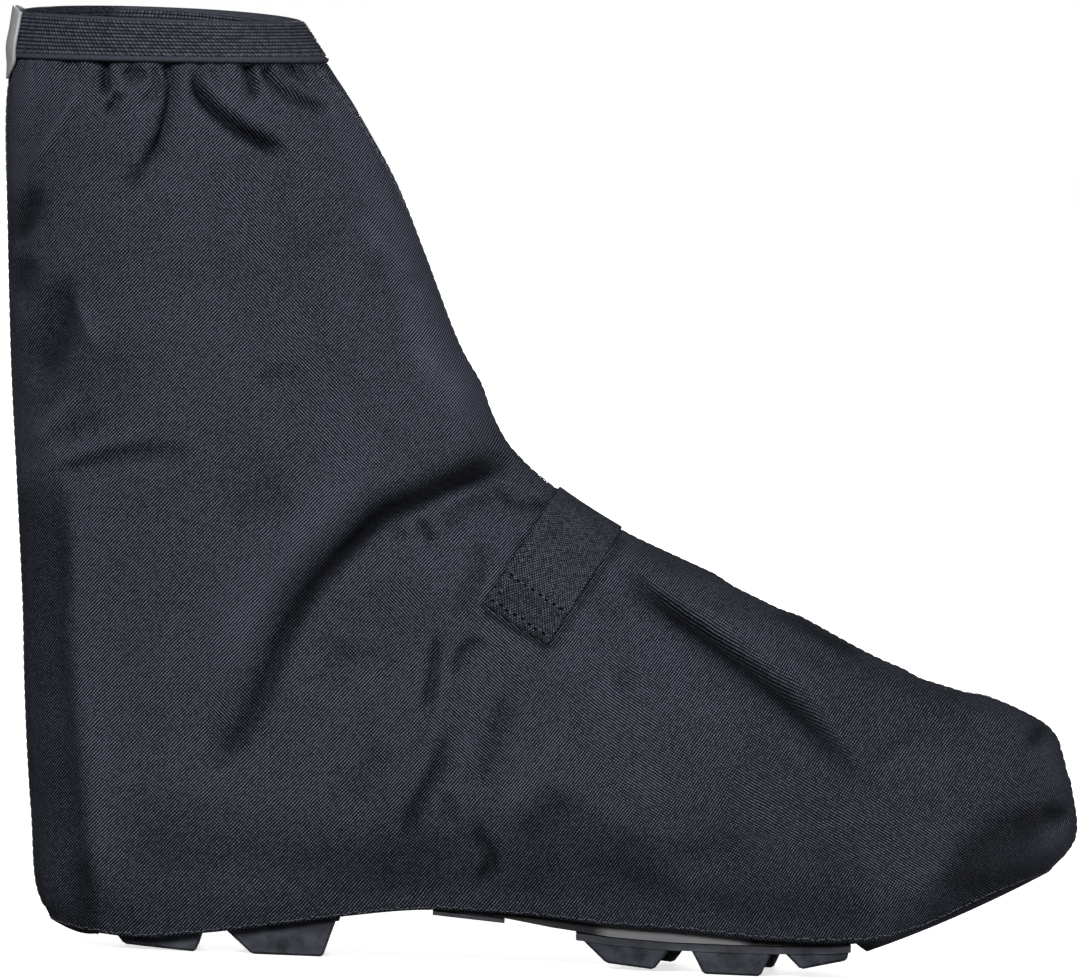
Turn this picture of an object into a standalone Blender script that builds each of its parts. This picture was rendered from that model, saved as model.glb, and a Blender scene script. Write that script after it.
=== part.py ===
"""Cycling overshoe for the right foot: a fabric gaiter over a lugged sole.

Sizes are millimetres in the tables and are turned into metres when a mesh is made.
X runs from heel to toe, Y to the inner (medial) side of the foot, Z up from the floor.
Tables count X from the back of the heel; centre_on_floor() then moves the whole shoe so that
the origin is at the middle of its footprint.
"""

from collections import namedtuple

import bmesh
import bpy
import numpy as np
from mathutils import Matrix

MM = 0.001
GAP = 0.3

# Driving sizes of the fabric gaiter
WALL = 1.2
RING_COLUMNS = 52
RINGS_PER_LEVEL = 2
COLLAR_TILT = 1.0
TOE_SWING = 5.0

# Rings of the gaiter from the hem (first row) to the rim of the collar (last row).
# back and front: where the ring meets the heel line and the toe and instep line, seen from the side.
# lat and med: half widths on the outer and inner side, at the stations in WIDTH_STATIONS.
# back_round and front_round: shares of the ring's length over which its two ends are rounded.
Level = namedtuple(
    "Level",
    "back_x back_z front_x front_z "
    "lat_heel lat_waist lat_ball lat_toe med_heel med_waist med_ball med_toe back_round front_round",
)
WIDTH_STATIONS = (0.12, 0.42, 0.72, 0.90)
LEVELS = [
    Level(5.8, 6.8, 290.5, 31.6, 32.5, 34.0, 49.5, 42.0, 32.5, 29.5, 46.0, 40.0, 0.135, 0.20),
    Level(1.3, 17.0, 297.5, 41.5, 36.0, 39.0, 54.0, 47.0, 36.0, 35.5, 50.0, 44.0, 0.140, 0.20),
    Level(-0.6, 35.0, 296.2, 54.2, 37.5, 42.0, 54.5, 46.0, 37.5, 38.5, 50.5, 44.0, 0.145, 0.22),
    Level(-2.0, 48.0, 291.6, 69.5, 38.0, 43.0, 50.0, 41.0, 38.0, 40.0, 47.5, 40.0, 0.150, 0.25),
    Level(-3.2, 61.0, 279.0, 77.8, 38.0, 43.0, 45.5, 36.0, 38.0, 41.0, 44.0, 36.0, 0.160, 0.30),
    Level(-4.4, 77.0, 243.0, 88.8, 38.0, 42.5, 42.0, 35.0, 38.0, 41.0, 41.0, 35.0, 0.180, 0.40),
    Level(-5.4, 94.0, 203.0, 107.4, 38.0, 42.0, 40.0, 34.0, 38.0, 41.0, 39.5, 34.0, 0.210, 0.45),
    Level(-6.9, 112.0, 163.0, 124.6, 38.5, 42.0, 40.0, 34.5, 38.5, 41.0, 39.5, 34.5, 0.250, 0.47),
    Level(-9.0, 136.0, 133.4, 144.8, 39.0, 42.0, 40.5, 36.0, 39.0, 41.5, 40.5, 36.0, 0.310, 0.49),
    Level(-11.6, 165.0, 119.5, 168.0, 40.0, 42.0, 41.0, 37.5, 40.0, 42.0, 41.0, 37.5, 0.370, 0.50),
    Level(-14.0, 202.0, 104.7, 202.0, 40.5, 42.0, 41.5, 38.5, 40.5, 42.0, 41.5, 38.5, 0.420, 0.50),
    Level(-15.9, 236.0, 87.6, 236.0, 39.5, 40.5, 40.0, 38.0, 39.5, 40.5, 40.0, 38.0, 0.450, 0.50),
    Level(-14.7, 252.0, 74.5, 254.0, 36.5, 37.2, 37.0, 36.0, 36.5, 37.2, 37.0, 36.0, 0.480, 0.50),
    Level(-13.0, 265.6, 66.4, 265.6, 35.5, 36.2, 36.0, 35.0, 35.5, 36.2, 36.0, 35.0, 0.480, 0.50),
]
HEM_LEVEL = 0.0
COLLAR_LEVEL = 12.0
RIM_LEVEL = 13.0
FABRIC_TOP_LEVEL = 12.45
HEM_FADES_AT = 5.0
SWING_FADES_AT = 7.0
TILT_STARTS_AT = 10.0

# Height of the hem along the foot: low at the heel, raised at the arch, lifted by the toe spring.
HemPoint = namedtuple("HemPoint", "x z")
HEM_PATH = [
    HemPoint(5.8, 6.8),
    HemPoint(13.0, 5.0),
    HemPoint(22.0, 4.0),
    HemPoint(32.0, 3.6),
    HemPoint(50.0, 5.6),
    HemPoint(70.0, 8.6),
    HemPoint(90.0, 11.9),
    HemPoint(112.0, 14.6),
    HemPoint(130.0, 14.8),
    HemPoint(146.0, 13.7),
    HemPoint(160.0, 12.0),
    HemPoint(188.0, 10.9),
    HemPoint(212.0, 9.3),
    HemPoint(228.0, 9.6),
    HemPoint(240.0, 11.2),
    HemPoint(251.0, 14.4),
    HemPoint(262.0, 19.2),
    HemPoint(274.0, 25.2),
    HemPoint(290.5, 31.6),
]

# The opening under the foot, between the turned-in heel and the panel under the toe
OPENING_BACK = 20.0
OPENING_FRONT = 239.5
HEM_TURN_IN = 2.5
TOE_PANEL_DROP = 4.2
HEEL_PANEL_DROP = 0.6
TOE_PANEL_BULGE = 1.2

# Knitted elastic binding folded over the top of the fabric
BAND_LAYER = 1.1
BAND_BULGE = 0.35
BAND_BOTTOM_LEVEL = COLLAR_LEVEL
BAND_SHOULDER = 0.82
BAND_BELLY = 0.25
BAND_SLOT_ROOM = 0.06

# Hook-and-loop strap across the instep
STRAP_RIDGE_BACK = 145.5
STRAP_RIDGE_FRONT = 164.0
STRAP_DROP = (-19.5, -32.6)
STRAP_THICKNESS = 1.8
STRAP_LENGTH_CELLS = 26
STRAP_WIDTH_CELLS = 4
STRAP_LEVELS = (6.0, 9.0)

# Elastic strap under the arch
UNDER_BACK = 115.0
UNDER_FRONT = 135.5
UNDER_THICKNESS = 1.1
UNDER_TUCK = 0.8
UNDER_CELLS = 10

# Reflective tab at the back of the collar
TAB_HALF_TURN = 0.034
TAB_LEVELS = (11.68, 11.9, 12.2, 12.6, 12.97)
TAB_STAND_OFF = (0.4, 1.9, 2.1, 2.0, 1.9)
TAB_THICKNESS = 1.3
TAB_CELLS = 6

# Sole plate: underside seen from the side, thickness, and how far it stays inside the hem
PlatePoint = namedtuple("PlatePoint", "x z")
PLATE_UNDERSIDE = [
    PlatePoint(20.0, 9.4),
    PlatePoint(34.0, 8.4),
    PlatePoint(54.0, 8.6),
    PlatePoint(80.0, 11.5),
    PlatePoint(96.0, 13.7),
    PlatePoint(114.0, 14.7),
    PlatePoint(126.0, 14.4),
    PlatePoint(140.0, 12.6),
    PlatePoint(156.0, 10.2),
    PlatePoint(172.0, 9.0),
    PlatePoint(206.0, 8.8),
    PlatePoint(228.0, 9.4),
    PlatePoint(239.5, 10.8),
]
PLATE_THICKNESS = 4.5
PLATE_IN_OPENING = 0.5
PLATE_INSIDE_HEM = 1.5
PLATE_OVER_HEM = 2.2
PLATE_LIP = 0.5

# Rubber treads under the plate
TREAD_BASE = 2.0
TREAD_INSET = 0.8
HEEL_TREAD = (21.5, 88.5)
FOREFOOT_TREAD = (156.0, 234.0)
LUG_REACH = 23.0
LUG_DRAFT = 1.4
LUG_ROOT = 1.0
LUG_STATIONS = 5
LUG_BEVEL = 0.7
SHARP_ANGLE = 35.0

# Lugs from heel to toe: where each starts and ends at its root and at its foot, how high the two ends
# of its foot are above the floor, and how far the lug of the inner row is set ahead of the outer one.
Lug = namedtuple("Lug", "root_back root_front foot_back foot_front back_lift front_lift inner_ahead")
HEEL_LUGS = [
    Lug(22.0, 50.0, 27.5, 48.0, 1.3, 0.0, 0.0),
    Lug(55.5, 87.8, 64.0, 84.2, 0.0, 0.0, 0.0),
]
FOREFOOT_LUGS = [
    Lug(157.0, 183.2, 164.8, 178.4, 1.8, 0.6, 6.0),
    Lug(188.4, 211.8, 192.5, 208.6, 0.0, 0.0, 4.5),
    Lug(214.6, 233.6, 220.0, 233.0, 2.4, 5.4, 0.0),
]

# Colours and surface values of the materials
Finish = namedtuple("Finish", "colour roughness metallic")
FINISHES = {
    "coated_fabric": Finish((0.021, 0.023, 0.030), 0.62, 0.0),
    "elastic": Finish((0.030, 0.031, 0.038), 0.80, 0.0),
    "strap_tape": Finish((0.026, 0.027, 0.034), 0.85, 0.0),
    "reflective_tape": Finish((0.58, 0.58, 0.60), 0.35, 0.0),
    "nylon_plate": Finish((0.045, 0.046, 0.050), 0.40, 0.0),
    "tread_rubber": Finish((0.012, 0.013, 0.016), 0.55, 0.0),
}


def column(rows, name):
    """One named column of a table as an array."""
    return np.array([getattr(row, name) for row in rows], float)


def smooth(knots, values, at):
    """Smooth curve through a table's points; it stays flat past both ends."""
    knots = np.asarray(knots, float)
    values = np.asarray(values, float)
    at = np.clip(np.asarray(at, float), knots[0], knots[-1])
    steps = np.diff(knots)
    slopes = np.diff(values) / steps
    inner = (slopes[:-1] * steps[1:] + slopes[1:] * steps[:-1]) / (steps[1:] + steps[:-1])
    tangents = np.concatenate([slopes[:1], inner, slopes[-1:]])
    i = np.clip(np.searchsorted(knots, at, side="right") - 1, 0, len(steps) - 1)
    f = (at - knots[i]) / steps[i]
    rise = values[i] * (1 + 2 * f) * (1 - f) ** 2 + values[i + 1] * f**2 * (3 - 2 * f)
    lean = tangents[i] * f * (1 - f) ** 2 - tangents[i + 1] * f**2 * (1 - f)
    return rise + lean * steps[i]


def at_level(name, level):
    """A column of the level table, read between its rows."""
    return smooth(np.arange(len(LEVELS)), column(LEVELS, name), level)


def hem_height(x):
    return smooth(column(HEM_PATH, "x"), column(HEM_PATH, "z"), x)


def fade(level, ends_at):
    """1 at the hem, falling smoothly to 0 at the level where it ends."""
    return np.clip(1 - np.asarray(level, float) / ends_at, 0, 1) ** 2


def side_view(level, share):
    """X and Z of a ring at a share of its length, 0 at the heel line and 1 at the front line."""
    back_x = at_level("back_x", level)
    back_z = at_level("back_z", level)
    x = back_x + (at_level("front_x", level) - back_x) * share
    z = back_z + (at_level("front_z", level) - back_z) * share
    hem = LEVELS[0]
    hem_x = hem.back_x + (hem.front_x - hem.back_x) * share
    hem_chord = hem.back_z + (hem.front_z - hem.back_z) * share
    return x, z + (hem_height(hem_x) - hem_chord) * fade(level, HEM_FADES_AT)


def end_rounding(share, back_round, front_round):
    """Factor on the half width that closes a ring at its two ends."""
    from_back = np.clip(1 - share / back_round, 0, 1)
    from_front = np.clip(1 - (1 - share) / front_round, 0, 1)
    return np.sqrt((1 - from_back**2) * (1 - from_front**2))


def half_width(level, share, side):
    """Half width of a ring: side is lat or med."""
    level, share = np.broadcast_arrays(np.asarray(level, float), np.asarray(share, float))
    names = [f"{side}_{place}" for place in ("heel", "waist", "ball", "toe")]
    widths = np.stack([at_level(name, level) for name in names])
    knots = np.array(WIDTH_STATIONS)
    flat = [smooth(knots, column_of, s) for column_of, s in zip(widths.reshape(4, -1).T, share.ravel())]
    ends = end_rounding(share, at_level("back_round", level), at_level("front_round", level))
    return np.array(flat).reshape(share.shape) * ends


def gaiter(level, turn):
    """Point of the gaiter's outer face. turn goes round a ring: 0 heel, 0.25 outer side, 0.5 front."""
    level, turn = np.broadcast_arrays(np.asarray(level, float), np.asarray(turn, float))
    share = (1 - np.cos(2 * np.pi * turn)) / 2
    x, z = side_view(level, share)
    outer = np.mod(turn, 1.0) <= 0.5
    half = np.where(outer, -half_width(level, share, "lat"), half_width(level, share, "med"))
    y = half + TOE_SWING * share**2 * fade(level, SWING_FADES_AT)
    collar = np.clip((level - TILT_STARTS_AT) / (RIM_LEVEL - TILT_STARTS_AT), 0, 1)
    z = z + COLLAR_TILT * collar * half / at_level("lat_waist", level)
    return np.stack([x, y, z], axis=-1)


def gaiter_normal(level, turn):
    """Outward normal of the gaiter's outer face."""
    step = 0.002
    along = gaiter(level, turn + step) - gaiter(level, turn - step)
    up = gaiter(level + step, turn) - gaiter(level - step, turn)
    normal = np.cross(along, up)
    return normal / np.linalg.norm(normal, axis=-1, keepdims=True)


def find_on_side(x, z, side_sign):
    """Level and turn of the gaiter's point that lies at x, z in the side view, by Newton's method."""
    level = np.full(np.shape(x), np.mean(STRAP_LEVELS))
    share = np.full(np.shape(x), 0.9)
    small = 1e-4
    for _ in range(30):
        here = np.stack(side_view(level, share), -1)
        by_level = (np.stack(side_view(level + small, share), -1) - here) / small
        by_share = (np.stack(side_view(level, share + small), -1) - here) / small
        miss = np.stack([x, z], -1) - here
        det = by_level[..., 0] * by_share[..., 1] - by_level[..., 1] * by_share[..., 0]
        level = level + (miss[..., 0] * by_share[..., 1] - miss[..., 1] * by_share[..., 0]) / det
        share = share + (miss[..., 1] * by_level[..., 0] - miss[..., 0] * by_level[..., 1]) / det
    turn = np.arccos(np.clip(1 - 2 * share, -1, 1)) / (2 * np.pi)
    return level, np.where(side_sign < 0, turn, 1 - turn)


def add_object(name, vertices, faces, finish):
    """Makes a named mesh object from points in millimetres, with its faces turned outwards."""
    mesh = bpy.data.meshes.new(name)
    mesh.from_pydata([tuple(p) for p in np.asarray(vertices) * MM], [], faces)
    cleaner = bmesh.new()
    cleaner.from_mesh(mesh)
    bmesh.ops.recalc_face_normals(cleaner, faces=cleaner.faces)
    cleaner.to_mesh(mesh)
    cleaner.free()
    mesh.shade_smooth()
    mesh.set_sharp_from_angle(angle=np.radians(SHARP_ANGLE))
    mesh.materials.append(material(finish))
    made = bpy.data.objects.new(name, mesh)
    bpy.context.scene.collection.objects.link(made)
    return made


def material(name):
    """Principled material of one finish, made once."""
    found = bpy.data.materials.get(name)
    if found:
        return found
    made = bpy.data.materials.new(name)
    made.use_nodes = True
    shader = made.node_tree.nodes["Principled BSDF"]
    finish = FINISHES[name]
    shader.inputs["Base Color"].default_value = (*finish.colour, 1.0)
    shader.inputs["Roughness"].default_value = finish.roughness
    shader.inputs["Metallic"].default_value = finish.metallic
    return made


def ring_faces(rings, columns, closed_rings=False):
    """Quads between neighbouring rings of a tube; closed_rings also joins the last ring to the first."""
    faces = []
    for r in range(rings if closed_rings else rings - 1):
        a, b = r * columns, (r + 1) % rings * columns
        for c in range(columns):
            d = (c + 1) % columns
            faces.append((a + c, a + d, b + d, b + c))
    return faces


def slab_faces(across, along):
    """Quads of a closed slab made of a lower and an upper grid of points."""
    faces = []
    upper = across * along
    for i in range(across - 1):
        for j in range(along - 1):
            a, b = i * along + j, (i + 1) * along + j
            faces.append((a, a + 1, b + 1, b))
            faces.append((upper + a, upper + b, upper + b + 1, upper + a + 1))
    for i in range(across - 1):
        for j in (0, along - 1):
            a, b = i * along + j, (i + 1) * along + j
            faces.append((a, b, upper + b, upper + a))
    for j in range(along - 1):
        for i in (0, across - 1):
            a = i * along + j
            faces.append((a, a + 1, upper + a + 1, upper + a))
    return faces


def add_slab(name, lower, upper, finish):
    """Closed slab between two grids of points of the same shape."""
    across, along = lower.shape[:2]
    points = np.concatenate([lower.reshape(-1, 3), upper.reshape(-1, 3)])
    return add_object(name, points, slab_faces(across, along), finish)


def turns():
    return np.arange(RING_COLUMNS) / RING_COLUMNS


def inset_in_plan(ring, distance):
    """A ring of points moved inwards, seen from above."""
    ahead = np.roll(ring, -1, axis=0) - np.roll(ring, 1, axis=0)
    normal = np.stack([ahead[:, 1], -ahead[:, 0]], -1)
    normal /= np.linalg.norm(normal, axis=1, keepdims=True)
    outwards = np.sign(np.sum(normal * (ring[:, :2] - ring[:, :2].mean(axis=0)), axis=1).sum())
    moved = ring.copy()
    moved[:, :2] -= outwards * normal * distance
    return moved


def opening_ring(inset=0.0):
    """Edge of the opening under the foot: the turned-in hem, cut off straight at heel and toe."""
    hem = gaiter(HEM_LEVEL, turns())
    edge = inset_in_plan(hem, HEM_TURN_IN + inset)
    behind = edge[:, 0] < OPENING_BACK + inset
    before = edge[:, 0] > OPENING_FRONT - inset
    edge[:, 0] = np.clip(edge[:, 0], OPENING_BACK + inset, OPENING_FRONT - inset)
    edge[:, 2] = hem_height(edge[:, 0])
    edge[behind, 2] -= HEEL_PANEL_DROP
    crown = np.clip(1 - (edge[:, 1] / LEVELS[0].lat_toe) ** 2, 0, 1)
    edge[before, 2] -= TOE_PANEL_DROP * crown[before]
    return edge


def opening_half(x, side):
    """Distance from the middle line to the edge of the opening, outer (lat) or inner (med) side."""
    edge = opening_ring()
    half = RING_COLUMNS // 2
    row = edge[: half + 1] if side == "lat" else np.roll(edge, -half, axis=0)[: half + 1][::-1]
    inside = (row[:, 0] > OPENING_BACK) & (row[:, 0] < OPENING_FRONT)
    return np.interp(x, row[inside, 0], np.abs(row[inside, 1]))


def build_upper():
    """The fabric gaiter: panels turned in under heel and toe, then rings from the hem to the collar."""
    hem = gaiter(HEM_LEVEL, turns())
    edge = opening_ring()
    middle = (hem + edge) / 2
    long_panel = np.linalg.norm(hem - edge, axis=1) > 2 * HEM_TURN_IN
    middle[long_panel, 2] -= TOE_PANEL_BULGE
    steps = int(np.floor(FABRIC_TOP_LEVEL)) * RINGS_PER_LEVEL
    levels = np.append(np.arange(steps + 1) / RINGS_PER_LEVEL, FABRIC_TOP_LEVEL)
    rings = [edge, middle] + [gaiter(level, turns()) for level in levels]
    upper = add_object(
        "upper", np.concatenate(rings), ring_faces(len(rings), RING_COLUMNS), "coated_fabric"
    )
    wall = upper.modifiers.new("wall", "SOLIDIFY")
    wall.thickness = WALL * MM
    wall.offset = -1.0
    wall.use_even_offset = True
    wall.use_quality_normals = True
    return upper


def build_collar_band():
    """Elastic tape folded over the fabric's top edge: an outer layer, a rounded rim and an inner layer."""
    outside = GAP + BAND_LAYER
    inside = WALL + GAP + BAND_LAYER
    bottom, top = BAND_BOTTOM_LEVEL, RIM_LEVEL
    shoulder = bottom + (top - bottom) * BAND_SHOULDER
    belly = bottom + (top - bottom) * BAND_BELLY
    slot_top = FABRIC_TOP_LEVEL + BAND_SLOT_ROOM
    profile = [
        (bottom, outside - BAND_BULGE),
        (belly, outside),
        (shoulder, outside - BAND_BULGE),
        (top, (outside - inside) / 2),
        (shoulder, BAND_BULGE - inside),
        (belly, -inside),
        (bottom, BAND_BULGE - inside),
        (bottom, -WALL - GAP),
        (slot_top, -WALL - GAP),
        (slot_top, GAP),
        (bottom, GAP),
    ]
    rings = []
    for level, offset in profile:
        rings.append(gaiter(level, turns()) + gaiter_normal(level, turns()) * offset)
    faces = ring_faces(len(profile), RING_COLUMNS, closed_rings=True)
    return add_object("collar_band", np.concatenate(rings), faces, "elastic")


def build_instep_strap():
    """Strap over the instep, laid on the gaiter's own surface on both sides of the ridge."""
    run = np.linspace(-1, 1, STRAP_LENGTH_CELLS + 1)
    ridge_x = np.linspace(STRAP_RIDGE_BACK, STRAP_RIDGE_FRONT, STRAP_WIDTH_CELLS + 1)
    levels = np.linspace(*STRAP_LEVELS, 200)
    ridge_level = np.interp(-ridge_x, -at_level("front_x", levels), levels)
    ridge_z = at_level("front_z", ridge_level)
    drop = run[:, None] ** 2
    x = ridge_x[None, :] + STRAP_DROP[0] * drop
    z = ridge_z[None, :] + STRAP_DROP[1] * drop
    level, turn = find_on_side(x, z, np.broadcast_to(run[:, None], x.shape))
    points, normals = gaiter(level, turn), gaiter_normal(level, turn)
    lower = points + normals * GAP
    upper = points + normals * (GAP + STRAP_THICKNESS)
    return add_slab("instep_strap", lower, upper, "strap_tape")


def plate_underside(x):
    return smooth(column(PLATE_UNDERSIDE, "x"), column(PLATE_UNDERSIDE, "z"), x)


def plate_ring():
    """Lower edge of the sole plate, just inside the opening."""
    ring = opening_ring(PLATE_IN_OPENING)
    ring[:, 2] = plate_underside(ring[:, 0])
    return ring


def build_sole_plate():
    """Stiff plate that closes the gaiter below: it fills the opening and spreads inside over the hem."""
    hem = gaiter(HEM_LEVEL, turns())
    lower = plate_ring()
    neck = lower.copy()
    neck[:, 2] = np.maximum(hem_height(neck[:, 0]) + PLATE_OVER_HEM, lower[:, 2] + PLATE_LIP)
    wide = inset_in_plan(hem, PLATE_INSIDE_HEM)
    wide[:, 2] = np.maximum(hem[:, 2] + PLATE_OVER_HEM, lower[:, 2] + PLATE_LIP)
    top = wide + np.array([0.0, 0.0, PLATE_THICKNESS])
    rings = [lower, neck, wide, top]
    faces = ring_faces(len(rings), RING_COLUMNS)
    faces += ladder_faces(0) + ladder_faces((len(rings) - 1) * RING_COLUMNS)
    return add_object("sole_plate", np.concatenate(rings), faces, "nylon_plate")


def ladder_faces(first):
    """Closes a ring with strips from its outer to its inner side."""
    half = RING_COLUMNS // 2
    faces = [(first, first + 1, first + RING_COLUMNS - 1)]
    for i in range(1, half - 1):
        j = RING_COLUMNS - i
        faces.append((first + i, first + i + 1, first + j - 1, first + j))
    faces.append((first + half - 1, first + half, first + half + 1))
    return faces


def tread_edge(x, side, inset):
    sign = -1 if side == "lat" else 1
    return sign * (opening_half(x, side) - TREAD_INSET - inset)


def tread_stations(span):
    """Places along the tread: its two ends and the plate's own facets between them, so the two lie flat."""
    along = plate_ring()[: RING_COLUMNS // 2, 0]
    return np.concatenate([span[:1], along[(along > span[0] + 2) & (along < span[1] - 2)], span[1:]])


def build_tread(name, span, lugs):
    """Rubber base under the plate with two rows of lugs, joined into one solid."""
    x = tread_stations(span)
    sides = np.stack([tread_edge(x, "lat", 0.0), np.zeros_like(x), tread_edge(x, "med", 0.0)], 1)
    top = np.stack([np.repeat(x[:, None], 3, 1), sides, np.repeat(plate_underside(x)[:, None], 3, 1)], -1)
    top[..., 2] -= GAP
    bottom = top - np.array([0.0, 0.0, TREAD_BASE])
    base = add_slab(name, bottom, top, "tread_rubber")
    for row, lug in enumerate(lugs):
        for side, ahead in (("lat", 0.0), ("med", lug.inner_ahead)):
            block = build_lug(f"{name}_{side}_{row}", lug, side, ahead)
            join = base.modifiers.new(block.name, "BOOLEAN")
            join.operation = "UNION"
            join.solver = "EXACT"
            join.object = block
    return base


def build_lug(name, lug, side, ahead):
    """One lug: its outer face follows the edge of the sole, and its sides taper to the foot."""
    sign = -1 if side == "lat" else 1
    share = np.linspace(0, 1, LUG_STATIONS)
    root_x = ahead + lug.root_back + (lug.root_front - lug.root_back) * share
    foot_x = ahead + lug.foot_back + (lug.foot_front - lug.foot_back) * share
    root_z = plate_underside(root_x) - GAP - LUG_ROOT
    foot_z = lug.back_lift + (lug.front_lift - lug.back_lift) * share
    root_y = tread_edge(root_x, side, 0.2)
    foot_y = tread_edge(foot_x, side, LUG_DRAFT)
    root = np.stack(
        [np.stack([root_x, root_y, root_z], -1), np.stack([root_x, root_y - sign * LUG_REACH, root_z], -1)]
    )
    inner_y = foot_y - sign * (LUG_REACH - 2 * LUG_DRAFT)
    foot = np.stack([np.stack([foot_x, foot_y, foot_z], -1), np.stack([foot_x, inner_y, foot_z], -1)])
    block = add_slab(name, foot, root, "tread_rubber")
    edge = block.modifiers.new("edge", "BEVEL")
    edge.width = LUG_BEVEL * MM
    edge.segments = 1
    edge.limit_method = "ANGLE"
    edge.angle_limit = np.radians(SHARP_ANGLE)
    block.hide_render = True
    block.display_type = "WIRE"
    return block


def build_underfoot_strap():
    """Strap under the arch: flat below the plate, its ends tucked under the turned-in hem."""
    run = np.linspace(-1, 1, UNDER_CELLS + 1)
    upper = []
    for x in (UNDER_BACK, UNDER_FRONT):
        z = min(plate_underside(x), hem_height(x)) - GAP
        outer, inner = [opening_half(x, side) + HEM_TURN_IN - UNDER_TUCK for side in ("lat", "med")]
        y = np.where(run < 0, run * outer, run * inner)
        upper.append(np.stack([np.full_like(y, x), y, np.full_like(y, z)], -1))
    upper = np.array(upper)
    lower = upper - np.array([0.0, 0.0, UNDER_THICKNESS])
    return add_slab("underfoot_strap", lower, upper, "elastic")


def build_back_tab():
    """Reflective tape at the back of the collar, bowed out over the lower edge of the band."""
    turn = np.linspace(-TAB_HALF_TURN, TAB_HALF_TURN, TAB_CELLS + 1)
    level = np.array(TAB_LEVELS)[:, None]
    off = np.array(TAB_STAND_OFF)[:, None, None]
    points = gaiter(level, turn[None, :])
    normals = gaiter_normal(level, turn[None, :])
    lower = points + normals * off
    return add_slab("back_tab", lower, lower + normals * TAB_THICKNESS, "reflective_tape")


def centre_on_floor(parts):
    """Moves every mesh so that the origin is at the middle of the shoe's footprint."""
    bpy.context.view_layer.update()
    graph = bpy.context.evaluated_depsgraph_get()
    corners = []
    for part in parts:
        corners += [tuple(corner) for corner in part.evaluated_get(graph).bound_box]
    corners = np.array(corners)
    low, high = corners.min(axis=0), corners.max(axis=0)
    shift = -np.array([(low[0] + high[0]) / 2, (low[1] + high[1]) / 2, low[2]])
    for mesh in {made.data for made in bpy.data.objects if made.type == "MESH"}:
        mesh.transform(Matrix.Translation(shift))
        mesh.update()


def main():
    for old in list(bpy.data.objects):
        bpy.data.objects.remove(old)
    parts = [
        build_upper(),
        build_collar_band(),
        build_instep_strap(),
        build_sole_plate(),
        build_tread("heel_tread", HEEL_TREAD, HEEL_LUGS),
        build_tread("forefoot_tread", FOREFOOT_TREAD, FOREFOOT_LUGS),
        build_underfoot_strap(),
        build_back_tab(),
    ]
    centre_on_floor(parts)


main()
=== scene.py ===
"""Looks of the cycling overshoe: fabric with its folds, knitted collar, strap, tab, sole, floor and light.

Sizes are millimetres in the tables, as in the part's own source: X counts from the back of the heel to the
toe, Y to the inner (medial) side of the foot and Z up from the floor. to_frame() turns points into metres
in the part's frame.
"""

from collections import namedtuple

import bmesh
import bpy
import numpy as np
from mathutils import Matrix, Vector


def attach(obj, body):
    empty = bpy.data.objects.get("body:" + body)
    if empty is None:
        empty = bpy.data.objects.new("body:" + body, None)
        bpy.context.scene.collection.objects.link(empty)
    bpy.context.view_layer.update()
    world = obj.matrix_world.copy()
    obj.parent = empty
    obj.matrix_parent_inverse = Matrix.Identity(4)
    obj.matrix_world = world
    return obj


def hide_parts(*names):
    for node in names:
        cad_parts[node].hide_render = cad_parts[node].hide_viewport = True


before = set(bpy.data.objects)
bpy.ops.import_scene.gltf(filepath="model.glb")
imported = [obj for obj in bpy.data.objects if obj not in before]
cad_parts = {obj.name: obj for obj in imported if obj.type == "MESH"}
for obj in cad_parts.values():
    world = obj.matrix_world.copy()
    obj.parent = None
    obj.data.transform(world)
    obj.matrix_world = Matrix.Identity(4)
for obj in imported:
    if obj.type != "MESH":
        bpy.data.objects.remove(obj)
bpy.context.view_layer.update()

# One millimetre in metres, then in millimetres: where the origin of the tables lies in the part's frame,
# the gap between pieces that meet, and the wall of the fabric
MM = 0.001
FRAME_SHIFT = np.array([-139.77, 0.5, 0.0])
GAP = 0.3
WALL = 1.2

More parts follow.
